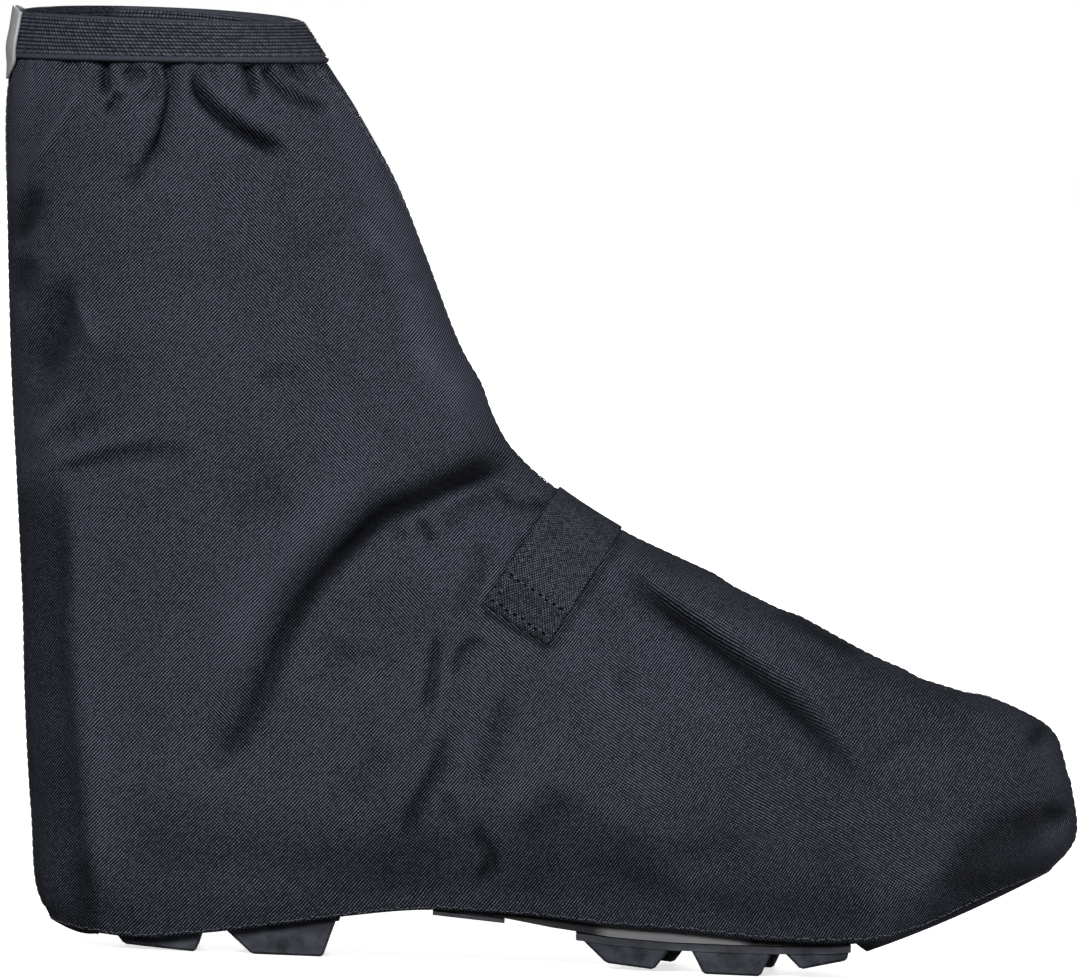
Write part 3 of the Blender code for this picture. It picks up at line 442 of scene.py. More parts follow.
# Dark marks of painted shade in the strap's needle holes, wide and small
STRAP_HOLE_SHADES = Thread(2.4, 0.0, 1.1, 0.34, 0.55)
STRAP_SMALL_HOLE_SHADES = Thread(2.8, 0.0, 0.7, 0.20, 0.50)
SEAM_THREAD = Thread(2.8, 0.5, 2.0, 0.16, 0.05)
ZIGZAG_THREAD = Thread(1.7, 0.5, 1.9, 0.11, 0.20)
ZIGZAG_LEVELS = (12.10, 12.19)
STITCH_SIDES = 6
STITCH_STATIONS = np.array([-0.5, -0.36, 0.36, 0.5])
STITCH_RADII = np.array([0.45, 1.0, 1.0, 0.45])
STITCH_SEED = 3

# Rows of stitches on the strap: from and to, as run and across of the outer end, and whether they are bold
StrapRow = namedtuple("StrapRow", "run_from across_from run_to across_to bold")
STRAP_ROWS = [
    StrapRow(0.852, -0.78, 0.852, 0.80, True),
    StrapRow(0.972, -0.84, 0.972, 0.84, True),
    StrapRow(0.50, -0.78, 0.96, -0.80, False),
    StrapRow(0.852, 0.80, 0.96, 0.84, False),
]
STRAP_LINE_POINTS = 60

# Weave of the fabric: distance of its threads, turn of its grain at the shaft and at the toe, in degrees,
# where it turns, its share of rising lines, how much a fold that leans changes that share and in which
# direction, and the part of the length hidden from the side that is unrolled
WEAVE_PITCH = 0.515
GRAIN_TURN = (2.3, 14.0)
GRAIN_PIVOT = (110.0, 60.0)
GRAIN_TURNS_OVER = (40.0, 260.0)
GRAIN_SHAFT_SLOPE = 0.5
RISING_SHARE = 0.74
FOLD_PULL = 0.45
LEAN_DIRECTION = (0.7, 0.0, 0.7)
UNROLLED = 0.6

# Look of the weave: how its share of rising lines drifts and its limits, light of its crowns before they are
# sharpened, and how much the threads differ
RISING_DRIFT = (-0.45, 0.45)
RISING_LIMITS = (0.27, 0.73)
CROWN_SPREAD = (0.46, 1.32)
CROWN_SHARPNESS = 2.3
THREAD_SPREAD = (0.6, 1.4)

# Stitches of the knit: their pitch, slant within a row and shift from row to row
KNIT_PITCH = 1.05
KNIT_SLANT = 0.45
KNIT_SHIFT = 0.42

# Painted reflection on the plate's side, where it is drawn pale: middle and half length along the foot, in
# metres of the part's frame
PAINTED_REFLECTION_STRETCH = (0.0437, 0.0205)
# Heights below which the tread shows all its dust, and above which it is drawn darker as painted shade
# under the hem
DUST_AND_PAINTED_SHADE_HEIGHTS = (0.006, 0.009)

# How much of a colour's blue tint its green takes part in
GREEN_SHARE = 0.24

# Softened edges of the plate
PLATE_BEVEL = 0.4
BEVEL_SEGMENTS = 2
BEVEL_ANGLE = 30.0

# Steps of the slopes worked out from neighbouring points, of the search for a point on the gaiter's side, and
# of fine lines round or up the gaiter; the rings are spaced by these turns
TURN_STEP = 0.002
SEARCH_STEP = 1e-4
SEARCH_ROUNDS = 30
SEARCH_SHARE = 0.9
FINE_STEPS = 1200
SPACING_TURNS = (0.02, 0.27, 0.42, 0.5)

# Lamps: direction that the light comes from (azimuth from the camera's side, to the right, and height), in
# degrees, its strength and the softness of its shadows
Lamp = namedtuple("Lamp", "name azimuth height strength softness")
LAMPS = [
    Lamp("key", -13.0, 24.0, 2.95, 18.0),
    Lamp("side", 78.0, 8.0, 1.50, 30.0),
    Lamp("behind", 180.0, 4.0, 2.2, 8.0),
]
WORLD_LIGHT = 0.06

# The floor is lit from below like a light table, and sends little of its light back to the shoe
FLOOR_GLOW = 0.80
FLOOR_BOUNCE = 0.12
FLOOR_REACH = 400.0

# View: distance, width of the picture at the shoe, where the camera points, its height angle and its roll
CAMERA_DISTANCE = 5.5
PICTURE_WIDTH = 0.3086
CAMERA_TARGET = (0.00085, 0.0, 0.1349)
CAMERA_ELEVATION = 0.9
CAMERA_ROLL = 2.304
SENSOR_WIDTH = 36.0
CAMERA_SEES = (0.1, 1000.0)


def column(rows, name):
    """One named column of a table as an array."""
    return np.array([getattr(row, name) for row in rows], float)


def pick(table, row):
    """The value in the given row, for each place."""
    return np.take_along_axis(np.broadcast_to(table, (len(table), *row.shape)), row[None], 0)[0]


def smooth(knots, values, at):
    """Smooth curve through a table's points, flat past both ends; values may hold a curve for each place."""
    knots = np.asarray(knots, float)
    at = np.clip(np.asarray(at, float), knots[0], knots[-1])
    along = (-1,) + (1,) * at.ndim
    values = np.asarray(values, float)
    if values.ndim == 1:
        values = values.reshape(along)
    steps = np.diff(knots)
    slopes = np.diff(values, axis=0) / steps.reshape(along)
    before, after = steps[:-1].reshape(along), steps[1:].reshape(along)
    inner = (slopes[:-1] * after + slopes[1:] * before) / (before + after)
    tangents = np.concatenate([slopes[:1], inner, slopes[-1:]])
    i = np.clip(np.searchsorted(knots, at, side="right") - 1, 0, len(steps) - 1)
    f = (at - knots[i]) / steps[i]
    rise = pick(values, i) * (1 + 2 * f) * (1 - f) ** 2 + pick(values, i + 1) * f**2 * (3 - 2 * f)
    lean = pick(tangents, i) * f * (1 - f) ** 2 - pick(tangents, i + 1) * f**2 * (1 - f)
    return rise + lean * steps[i]


def ease(low, high, at):
    """0 below low, 1 above high, smooth between them."""
    f = np.clip((np.asarray(at, float) - low) / (high - low), 0, 1)
    return f * f * (3 - 2 * f)


def at_level(name, level):
    """A column of the level table, read between its rows."""
    return smooth(np.arange(len(LEVELS)), column(LEVELS, name), level)


def hem_height(x):
    """Height of the hem at a place along the foot."""
    return smooth(*zip(*HEM_PATH), x)


def fade(level, ends_at):
    """1 at the hem, falling smoothly to 0 at the level where it ends."""
    return np.clip(1 - np.asarray(level, float) / ends_at, 0, 1) ** 2


def side_view(level, share):
    """X and Z of a ring at a share of its length, 0 at the heel line and 1 at the front line."""
    back_x = at_level("back_x", level)
    back_z = at_level("back_z", level)
    x = back_x + (at_level("front_x", level) - back_x) * share
    z = back_z + (at_level("front_z", level) - back_z) * share
    hem = LEVELS[0]
    hem_x = hem.back_x + (hem.front_x - hem.back_x) * share
    hem_chord = hem.back_z + (hem.front_z - hem.back_z) * share
    return x, z + (hem_height(hem_x) - hem_chord) * fade(level, HEM_FADES_AT)


def end_rounding(share, back_round, front_round):
    """Factor on the half width that closes a ring at its two ends."""
    from_back = np.clip(1 - share / back_round, 0, 1)
    from_front = np.clip(1 - (1 - share) / front_round, 0, 1)
    return np.sqrt((1 - from_back**2) * (1 - from_front**2))


def half_width(level, share, side):
    """Half width of a ring: side is lat or med."""
    widths = np.stack([at_level(f"{side}_{place}", level) for place in ("heel", "waist", "ball", "toe")])
    ends = end_rounding(share, at_level("back_round", level), at_level("front_round", level))
    return smooth(WIDTH_STATIONS, widths, share) * ends


def gaiter(level, turn):
    """Point of the gaiter's outer face. turn goes round a ring: 0 heel, 0.25 outer side, 0.5 front."""
    level, turn = np.broadcast_arrays(np.asarray(level, float), np.asarray(turn, float))
    share = (1 - np.cos(2 * np.pi * turn)) / 2
    x, z = side_view(level, share)
    outer = np.mod(turn, 1.0) <= 0.5
    half = np.where(outer, -half_width(level, share, "lat"), half_width(level, share, "med"))
    y = half + TOE_SWING * share**2 * fade(level, SWING_FADES_AT)
    collar = np.clip((level - TILT_STARTS_AT) / (RIM_LEVEL - TILT_STARTS_AT), 0, 1)
    z = z + np.where(outer, OUTER_TILT, INNER_TILT) * collar * half / at_level("lat_waist", level)
    return np.stack([x, y, z], axis=-1)


def unit(vectors):
    """Vectors of length 1 in the same directions."""
    return vectors / np.maximum(np.linalg.norm(vectors, axis=-1, keepdims=True), 1e-9)


def gaiter_normal(level, turn):
    """Outward normal of the gaiter's outer face."""
    along = gaiter(level, turn + TURN_STEP) - gaiter(level, turn - TURN_STEP)
    up = gaiter(level + TURN_STEP, turn) - gaiter(level - TURN_STEP, turn)
    return unit(np.cross(along, up))


def find_on_side(x, z, side_sign):
    """Level and turn of the gaiter's point that lies at x, z in the side view, by Newton's method."""
    level = np.full(np.shape(x), np.mean(STRAP_LEVELS))
    share = np.full(np.shape(x), SEARCH_SHARE)
    for _ in range(SEARCH_ROUNDS):
        here = np.stack(side_view(level, share), -1)
        by_level = (np.stack(side_view(level + SEARCH_STEP, share), -1) - here) / SEARCH_STEP
        by_share = (np.stack(side_view(level, share + SEARCH_STEP), -1) - here) / SEARCH_STEP
        miss = np.stack([x, z], -1) - here
        det = by_level[..., 0] * by_share[..., 1] - by_level[..., 1] * by_share[..., 0]
        level = level + (miss[..., 0] * by_share[..., 1] - miss[..., 1] * by_share[..., 0]) / det
        share = share + (miss[..., 1] * by_level[..., 0] - miss[..., 0] * by_level[..., 1]) / det
    turn = np.arccos(np.clip(1 - 2 * share, -1, 1)) / (2 * np.pi)
    return level, np.where(side_sign < 0, turn, 1 - turn)


def path_curve(path):
    """Evenly stepped points of a smooth curve through a path's points."""
    points = np.array(path, float)
    knots = np.concatenate([[0], np.cumsum(np.linalg.norm(np.diff(points, axis=0), axis=1))])
    at = np.linspace(0, knots[-1], FOLD_STEPS + 1)
    return np.stack([smooth(knots, points[:, axis], at) for axis in (0, 1)], -1)


def along_path(x, z, path):
    """Distance to a path, above 0 on its left, and the share of its length at the nearest point."""
    curve = path_curve(path)
    nearest = np.full(x.shape, np.inf)
    signed = np.zeros(x.shape)
    share = np.zeros(x.shape)
    for step, (start, stop) in enumerate(zip(curve[:-1], curve[1:])):
        run = stop - start
        off_x, off_z = x - start[0], z - start[1]
        part = np.clip((off_x * run[0] + off_z * run[1]) / (run @ run), 0, 1)
        distance = np.hypot(off_x - part * run[0], off_z - part * run[1])
        closer = distance < nearest
        nearest = np.where(closer, distance, nearest)
        left = np.where(run[0] * off_z - run[1] * off_x >= 0, 1.0, -1.0)
        signed = np.where(closer, left * distance, signed)
        share = np.where(closer, (step + part) / FOLD_STEPS, share)
    return signed, share


def fold_relief(fold, point):
    """How far one fold moves the fabric outwards, or what a shade or patch adds at each point."""
    x, y, z = np.moveaxis(point, -1, 0)
    outer = np.clip(0.5 - y / SIDE_BLEND, 0, 1)
    on_side = outer if fold.side == "lat" else np.ones_like(outer)
    reach = FOLD_REACH * max(fold.left, fold.right)
    low, high = np.min(fold.path, axis=0) - reach, np.max(fold.path, axis=0) + reach
    near = (x > low[0]) & (x < high[0]) & (z > low[1]) & (z < high[1]) & (on_side > 0)
    relief = np.zeros(x.shape)
    signed, share = along_path(x[near], z[near], fold.path)
    width = np.where(signed > 0, fold.left, fold.right)
    ends = ease(0, fold.start, share) * ease(0, fold.end, 1 - share)
    relief[near] = -fold.depth * np.exp(-np.abs(signed / width) ** fold.edge) * ends * on_side[near]
    return relief


def pleat_relief(turn, point):
    """Small pleats that hang from the collar band all round."""
    draw = np.random.default_rng(PLEAT_SEED)
    drop = np.maximum(gaiter(BAND_LEVEL, turn)[..., 2] - point[..., 2], 0)
    relief = np.zeros(drop.shape)
    for pleat in range(PLEATS):
        place = (pleat + draw.uniform(-PLEAT_STRAY, PLEAT_STRAY)) / PLEATS
        depth, reach, width = [draw.uniform(*span) for span in (PLEAT_DEPTH, PLEAT_REACH, PLEAT_WIDTH)]
        slant = draw.uniform(-PLEAT_SLANT, PLEAT_SLANT)
        away = (np.mod(turn - place + 0.5, 1) - 0.5) * COLLAR_GIRTH - slant * drop
        relief -= depth * np.exp(-((away / width) ** 2) - (drop / reach) ** 2)
    return relief


def wave_relief(point):
    """Slight waviness of the fabric, the same at each run."""
    draw = np.random.default_rng(WAVE_SEED)
    relief = np.zeros(point.shape[:-1])
    for _ in range(WAVE_COUNT):
        direction = unit(draw.normal(size=3))
        length = WAVE_LENGTH * draw.uniform(*WAVE_SPREAD)
        relief += np.sin(2 * np.pi * (point @ direction / length + draw.uniform()))
    return WAVE_HEIGHT * relief


def relief(level, turn, point):
    """How far folds, pleats and waviness move the fabric outwards; it lies flat at hem, band and strap."""
    total = wave_relief(point)
    for fold in FOLDS:
        total = total + fold_relief(fold, point)
    hem = gaiter(HEM_LEVEL, turn)[..., 2]
    ridge_x = (STRAP_RIDGE_BACK + STRAP_RIDGE_FRONT) / 2
    ridge = np.array([ridge_x, at_level("front_z", STRAP_MIDDLE_LEVEL)])
    strap = np.stack([ridge, ridge + np.array(STRAP_DROP)])
    from_strap = np.abs(along_path(point[..., 0], point[..., 2], strap)[0])
    total *= HEM_KEEPS + (1 - HEM_KEEPS) * ease(0, FLAT_ABOVE_HEM, point[..., 2] - hem)
    total *= ease(*STRAP_CLEAR, from_strap)
    back = 1 - ease(0, BACK_ENDS_AT, point[..., 0])
    total *= 1 - back * (1 - ease(*BACK_CLEAR, np.abs(point[..., 1])))
    total += pleat_relief(turn, point)
    return total * (1 - ease(BAND_LEVEL - FLAT_BELOW_BAND, BAND_LEVEL + FLAT_BELOW_BAND, level))


def pressed(point, normal):
    """Direction in which folds move the fabric: mostly sideways, along its normal at heel and instep line."""
    side = np.clip(point[..., 1] / PRESS_FROM, -1, 1)
    return unit(normal + SIDE_PRESS * side[..., None] * np.array([0.0, 1.0, 0.0]))


def fabric(level, turn, lift=0.0):
    """Points of the folded fabric, moved out by lift, its smooth normals before folding, and its relief."""
    level, turn = np.broadcast_arrays(np.asarray(level, float), np.asarray(turn, float))
    point = gaiter(level, turn)
    normal = gaiter_normal(level, turn)
    raised = relief(level, turn, point)
    folded = point + pressed(point, normal) * raised[..., None]
    return folded + normal * np.asarray(lift)[..., None], normal, raised


def to_frame(points):
    """Points in table millimetres as metres in the part's frame."""
    return (np.asarray(points, float) + FRAME_SHIFT) * MM


def grid_faces(rows, columns, close_rows=False, close_columns=False):
    """Quads of a grid of points; it can be closed into a tube either way."""
    r = np.arange(rows if close_rows else rows - 1)[:, None]
    c = np.arange(columns if close_columns else columns - 1)[None, :]
    r_next, c_next = (r + 1) % rows, (c + 1) % columns
    corners = [r * columns + c, r * columns + c_next, r_next * columns + c_next, r_next * columns + c]
    return np.stack(corners, -1).reshape(-1, 4)


def painted_shading_of(point):
    """Painted shading at each point: the share of the weave's light that shows, lost to painted shade or
    gained as painted light.
    """
    return np.clip(1 + sum(fold_relief(shade, point) for shade in PAINTED_SHADES), *PAINTED_SHADING_RANGE)


def painted_fold_shading(raised):
    """Painted shading of the folds, a factor on the weave's light: below 1 in a trough, as painted shade,
    above 1 on a ridge, as painted light.
    """
    lost = np.clip(-raised / CAVITY_DEPTH, 0, 1) ** CAVITY_POWER
    return np.maximum(1 - lost, CAVITY_LEAST) + np.clip(raised, 0, None) / RIDGE_HEIGHT


def add_piece(name, points, faces, finish, replaces=None, weave=None, tone=None, outwards=False):
    """Makes a piece from points in table millimetres, with their places in the weave and painted shading."""
    mesh = bpy.data.meshes.new(name)
    mesh.from_pydata(to_frame(points).tolist(), [], [list(map(int, face)) for face in faces])
    if outwards:
        turner = bmesh.new()
        turner.from_mesh(mesh)
        bmesh.ops.recalc_face_normals(turner, faces=turner.faces)
        turner.to_mesh(mesh)
        turner.free()
    mesh.shade_smooth()
    if weave is not None:
        layer = mesh.attributes.new("weave", "FLOAT_VECTOR", "POINT")
        layer.data.foreach_set("vector", np.ascontiguousarray(weave, np.float32).ravel())
    if tone is not None:
        layer = mesh.attributes.new("tone", "FLOAT", "POINT")
        layer.data.foreach_set("value", np.ascontiguousarray(tone, np.float32).ravel())
    mesh.materials.append(finish)
    piece = bpy.data.objects.new(name, mesh)
    bpy.context.scene.collection.objects.link(piece)
    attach(piece, "root")
    if replaces:
        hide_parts(replaces)


def slab(lower, upper):
    """Points and faces of a closed slab between two grids of points."""
    across, along = lower.shape[:2]
    count = across * along
    points = np.concatenate([lower.reshape(-1, 3), upper.reshape(-1, 3)])
    sheet = grid_faces(across, along)
    index = np.arange(count).reshape(across, along)
    border = np.concatenate([index[0, :-1], index[:-1, -1], index[-1, :0:-1], index[:0:-1, 0]])
    after = np.roll(border, -1)
    rim = np.stack([border, after, after + count, border + count], -1)
    return points, np.concatenate([sheet[:, ::-1], sheet + count, rim])


class Value:
    """Output of a node. Sums, differences, products and powers of values make further nodes."""

    def __init__(self, shader, socket):
        self.shader = shader
        self.socket = socket

    def math(self, operation, *others):
        return self.shader.math(operation, self, *others)

    def __add__(self, other):
        return self.math("ADD", other)

    def __sub__(self, other):
        return self.math("SUBTRACT", other)

    def __rsub__(self, other):
        return self.shader.math("SUBTRACT", other, self)

    def __mul__(self, other):
        return self.math("MULTIPLY", other)

    def __pow__(self, power):
        return self.math("POWER", power)

    def __abs__(self):
        return self.math("ABSOLUTE")

    def between(self, low, high):
        """A value from 0 to 1 turned into one from low to high."""
        return self.math("MULTIPLY_ADD", high - low, low)

    def clamped(self, low=0.0, high=1.0):
        return self.math("MAXIMUM", low).math("MINIMUM", high)

    def stretched(self, *scale):
        return self.shader.node("ShaderNodeVectorMath", {0: self, 1: scale}, operation="MULTIPLY")

    def parts(self):
        """The three parts of a vector."""
        return [self.shader.node("ShaderNodeSeparateXYZ", {0: self}, axis) for axis in "XYZ"]


class Shader:
    """Builds one node material with short calls; an input is a number, a colour or a Value."""

    def __init__(self, name, **surface):
        self.material = bpy.data.materials.new(name)
        self.material.use_nodes = True
        self.tree = self.material.node_tree
        self.finish(**surface)

    def put(self, socket, value):
        if isinstance(value, Value):
            self.tree.links.new(value.socket, socket)
        else:
            socket.default_value = value

    def finish(self, **surface):
        """Sets inputs of the surface, with _ for a space in their names, and returns the material."""
        sockets = self.tree.nodes["Principled BSDF"].inputs
        for key, value in surface.items():
            self.put(sockets[key.replace("_", " ")], value)
        return self.material

    def node(self, kind, inputs, output=0, **settings):
        made = self.tree.nodes.new(kind)
        for key, value in settings.items():
            setattr(made, key, value)
        for key, value in inputs.items():
            self.put(made.inputs[key], value)
        return Value(self, made.outputs[output])

    def math(self, operation, *values):
        return self.node("ShaderNodeMath", dict(enumerate(values)), operation=operation)

    def noise(self, vector, scale, detail=2.0, roughness=0.5):
        inputs = {"Vector": vector, "Scale": scale, "Detail": detail, "Roughness": roughness}
        return self.node("ShaderNodeTexNoise", inputs, "Fac")

    def attribute(self, name, output):
        return self.node("ShaderNodeAttribute", {}, output, attribute_name=name)

    def position(self):
        return self.node("ShaderNodeTexCoord", {}, "Object")

    def mix(self, factor, first, second):
        return self.node("ShaderNodeMix", {0: factor, 6: first, 7: second}, 2, data_type="RGBA")

    def cell_random(self, u, v):
        """One random value for each whole step of u and v."""
        cell = self.node("ShaderNodeCombineXYZ", {0: u.math("FLOOR"), 1: v.math("FLOOR")})
        return self.node("ShaderNodeTexWhiteNoise", {"Vector": cell}, "Value", noise_dimensions="2D")

    def bump(self, height, distance, **under):
        inputs = {"Height": height, "Distance": distance, "Strength": 1.0, **under}
        return self.node("ShaderNodeBump", inputs)


def grey(value, blue=1.0):
    """A neutral colour, a little cool where blue is over 1."""
    return (value, value * (1 + (blue - 1) * GREEN_SHARE), value * blue, 1.0)


# Colours of each finish, from its darkest to its lightest places
CLOTH_COLOURS = (grey(0.0022, 1.5), grey(0.122, 1.45))
KNIT_COLOURS = (grey(0.005, 1.4), grey(0.118, 1.4))
TAPE_COLOURS = (grey(0.005, 1.4), grey(0.118, 1.38))
THREAD_COLOURS = (grey(0.02, 1.2), grey(0.16, 1.2))
# Painted shade in the needle holes
HOLE_SHADE_COLOURS = (grey(0.0008, 1.3), grey(0.004, 1.3))
REFLECTIVE_COLOURS = (grey(0.42, 1.05), grey(0.58, 1.04))
DARK_PLATE_COLOURS = (grey(0.007, 1.2), grey(0.012, 1.2))
# Painted reflection on the plate's side
PAINTED_REFLECTION_COLOURS = (grey(0.13, 1.05), grey(0.19, 1.05))
RUBBER_COLOURS = (grey(0.018, 1.35), grey(0.095, 1.35))
FLOOR_COLOURS = (grey(0.88, 1.005), grey(0.90, 1.005))


def fabric_material():
    """Coated plain-weave nylon: light thread crowns in diagonal lines that turn with the folds."""
    shader = Shader("gaiter_fabric", Roughness=0.60, Specular_IOR_Level=0.05)
    place = shader.attribute("weave", "Vector")
    u, v, rising_share = place.parts()
    mirrored = place.stretched(1.0, -1.0, 0.0)
    u = (u + shader.noise(place, scale=0.09, detail=5.0, roughness=0.6)) * (1 / WEAVE_PITCH)
    v = (v + shader.noise(mirrored, scale=0.08, detail=5.0, roughness=0.6)) * (1 / WEAVE_PITCH)
    rising = ((u - v) * np.pi).math("COSINE")
    falling = ((u + v) * np.pi).math("COSINE")
    drift = shader.noise(place, scale=0.05, detail=3.0).between(*RISING_DRIFT)
    weight = (rising_share + drift).clamped(*RISING_LIMITS)
    pattern = rising * weight - falling * (1.0 - weight)
    crown = pattern.between(*CROWN_SPREAD).clamped() ** CROWN_SHARPNESS
    uneven = shader.cell_random(u, v).between(*THREAD_SPREAD)
    along_u = shader.noise(place.stretched(1.4, 0.05, 0.0), scale=1.0, detail=1.0)
    along_v = shader.noise(place.stretched(0.05, 1.4, 0.0), scale=1.0, detail=1.0)
    streaks = (along_u + along_v).between(0.75, 1.0)
    # cloud is a random tone times the painted shade and painted light that the mesh carries
    cloud = shader.noise(place, scale=0.02, detail=3.0).between(0.8, 1.2) * shader.attribute("tone", "Fac")
    light = (crown * uneven * streaks * cloud).clamped()
    creased = shader.bump(shader.noise(place, scale=0.16, detail=3.0), distance=0.0002)
    woven = shader.bump(abs(pattern), distance=0.00008, Normal=creased)
    return shader.finish(Base_Color=shader.mix(light, *CLOTH_COLOURS), Normal=woven)


def knit_material():
    """Knitted elastic: rows of slanted stitches between plain edges, and fuzzy loops inside the back."""
    shader = Shader("elastic", Roughness=0.7, Specular_IOR_Level=0.05)
    place = shader.attribute("weave", "Vector")
    around, height, loops = place.parts()
    low, high = BAND_ROW_SPAN
    rows_in_height = BAND_ROWS / (high - low)
    row = height * (rows_in_height / BAND_HEIGHT) - low * rows_in_height
    in_row = row.math("FRACT")
    slanted = around * (1 / KNIT_PITCH) + in_row * KNIT_SLANT + row.math("FLOOR") * KNIT_SHIFT
    dash = (slanted * (2 * np.pi)).math("SINE") * 0.38 + 0.60
    stitch = dash * (in_row * np.pi).math("SINE") ** 1.1
    knitted = abs(row - BAND_ROWS / 2).math("LESS_THAN", BAND_ROWS / 2)
    uneven = shader.cell_random(slanted, row).between(*THREAD_SPREAD)
    fuzz = shader.noise(place, scale=2.2, detail=3.0)
    plain = fuzz * BAND_PLAIN
    light = plain + knitted * (stitch * uneven * fuzz.between(0.45, 1.55) - plain)
    speckle = shader.noise(place, scale=3.2) ** 6.0 * 6.0
    light = (light + loops * (speckle - light)).clamped()
    normal = shader.bump(stitch + fuzz * 0.6, distance=0.00012)
    return shader.finish(Base_Color=shader.mix(light, *KNIT_COLOURS), Normal=normal)


def tape_material():
    """Canvas strap tape: a fine, uneven square weave, darker at the sewn ends."""
    shader = Shader("strap_tape", Roughness=0.7, Specular_IOR_Level=0.05)
    place = shader.attribute("weave", "Vector")
    u, v, shade = place.parts()
    mirrored = place.stretched(1.0, -1.0, 0.0)
    u = (u + shader.noise(place, scale=0.25, detail=3.0)) * (1 / TAPE_PITCH)
    v = (v + shader.noise(mirrored, scale=0.3, detail=3.0)) * (1 / TAPE_PITCH)
    diagonal = np.sqrt(0.5) * np.pi
    crown = abs(((u + v) * diagonal).math("SINE")) * abs(((u - v) * diagonal).math("SINE"))
    uneven = shader.cell_random(u, v).between(0.4, 1.6)
    light = (crown ** 1.6 * (uneven * shade)).clamped()
    normal = shader.bump(crown, distance=0.00012)
    return shader.finish(Base_Color=shader.mix(light, *TAPE_COLOURS), Normal=normal)


def thread_material():
    """Sewing thread with a twisted look."""
    shader = Shader("thread", Roughness=0.55, Specular_IOR_Level=0.4)
    fleck = shader.noise(shader.position(), scale=1800.0)
    return shader.finish(Base_Color=shader.mix(fleck, *THREAD_COLOURS))


def needle_hole_shade_material():
    """Painted shade in a needle hole: dark and fuzzy."""
    shader = Shader("needle_hole_shade", Roughness=0.95, Specular_IOR_Level=0.0)
    fuzz = shader.noise(shader.position(), scale=2500.0)
    return shader.finish(Base_Color=shader.mix(fuzz, *HOLE_SHADE_COLOURS))


def reflective_material():
    """Light grey reflective tape with a fine bead grain."""
    shader = Shader("reflective_tape", Specular_IOR_Level=0.6)
    grain = shader.noise(shader.position(), scale=2600.0)
    worn = shader.noise(shader.position(), scale=160.0, detail=4.0)
    colour = shader.mix(worn, *REFLECTIVE_COLOURS)
    normal = shader.bump(grain, distance=0.00006)
    return shader.finish(Base_Color=colour, Roughness=grain.between(0.25, 0.55), Normal=normal)


def plate_material():
    """Moulded nylon plate, half glossy: dark, with a painted reflection, a paler stretch under the ball
    of the foot.
    """
    shader = Shader("nylon_plate", Specular_IOR_Level=0.25)
    cloud = shader.noise(shader.position(), scale=90.0, detail=4.0)
    grain = shader.noise(shader.position(), scale=1500.0)
    along_foot = shader.position().parts()[0]
    middle, half = PAINTED_REFLECTION_STRETCH
    # Painted reflection: along this stretch the plate is drawn pale
    pale = (5.5 - abs(along_foot - middle) * (5.0 / half)).clamped()
    dark_plate = shader.mix(cloud, *DARK_PLATE_COLOURS)
    colour = shader.mix(pale, dark_plate, shader.mix(cloud, *PAINTED_REFLECTION_COLOURS))
    normal = shader.bump(grain, distance=0.00004)
    return shader.finish(Base_Color=colour, Roughness=cloud.between(0.25, 0.5), Normal=normal)


def rubber_material():
    """Dark moulded rubber, a little dusty low down, with painted shade under the hem higher up."""
    shader = Shader("tread_rubber", Specular_IOR_Level=0.2)
    dust = shader.noise(shader.position(), scale=140.0, detail=5.0, roughness=0.6)
    grain = shader.noise(shader.position(), scale=1100.0, detail=3.0)
    height = shader.position().parts()[2]
    full_below, ends_at = DUST_AND_PAINTED_SHADE_HEIGHTS
    # Painted shade: from the first height up to the second the tread is drawn darker
    low = ((ends_at - height) * (1 / (ends_at - full_below))).clamped(0.35, 1.0)
    dust_and_painted_shade = dust.between(-0.6, 1.4).clamped() * low
    normal = shader.bump(grain, distance=0.00008)
    colour = shader.mix(dust_and_painted_shade, *RUBBER_COLOURS)
    return shader.finish(Base_Color=colour, Roughness=dust.between(0.35, 0.70), Normal=normal)


def column_turns():
    """Turns of the fabric's columns, closer together on the sides and most so on the outer one."""
    inner_side_columns = FABRIC_COLUMNS - OUTER_SIDE_COLUMNS
    outer_side = np.arange(OUTER_SIDE_COLUMNS) / OUTER_SIDE_COLUMNS
    inner_side = np.arange(inner_side_columns) / inner_side_columns
    even = np.concatenate([outer_side, 1 + inner_side]) / 2
    return even + EVEN_COLUMNS * np.sin(4 * np.pi * even) / (4 * np.pi)


def ring_levels():
    """Levels of the fabric's rings, evenly apart where they lie widest and closer below the collar."""
    fine = np.linspace(HEM_LEVEL, FABRIC_TOP_LEVEL, FINE_STEPS)
    lines = gaiter(fine[:, None], np.array([SPACING_TURNS]))
    apart = np.linalg.norm(np.diff(lines, axis=0), axis=-1).max(axis=1)
    apart *= np.where(fine[1:] > COLLAR_DENSE_FROM, COLLAR_DENSITY, 1.0)
    length = np.concatenate([[0], np.cumsum(apart)])
    return np.interp(np.linspace(0, length[-1], OUTER_RINGS), length, fine)


def inset_in_plan(ring, distance):
    """A ring of points moved inwards, seen from above."""
    ahead = np.roll(ring, -1, axis=0) - np.roll(ring, 1, axis=0)
    normal = unit(np.stack([ahead[:, 1], -ahead[:, 0]], -1))
    outwards = np.sign(np.sum(normal * (ring[:, :2] - ring[:, :2].mean(axis=0)), axis=1).sum())
    moved = ring.copy()
    moved[:, :2] -= outwards * normal * distance
    return moved


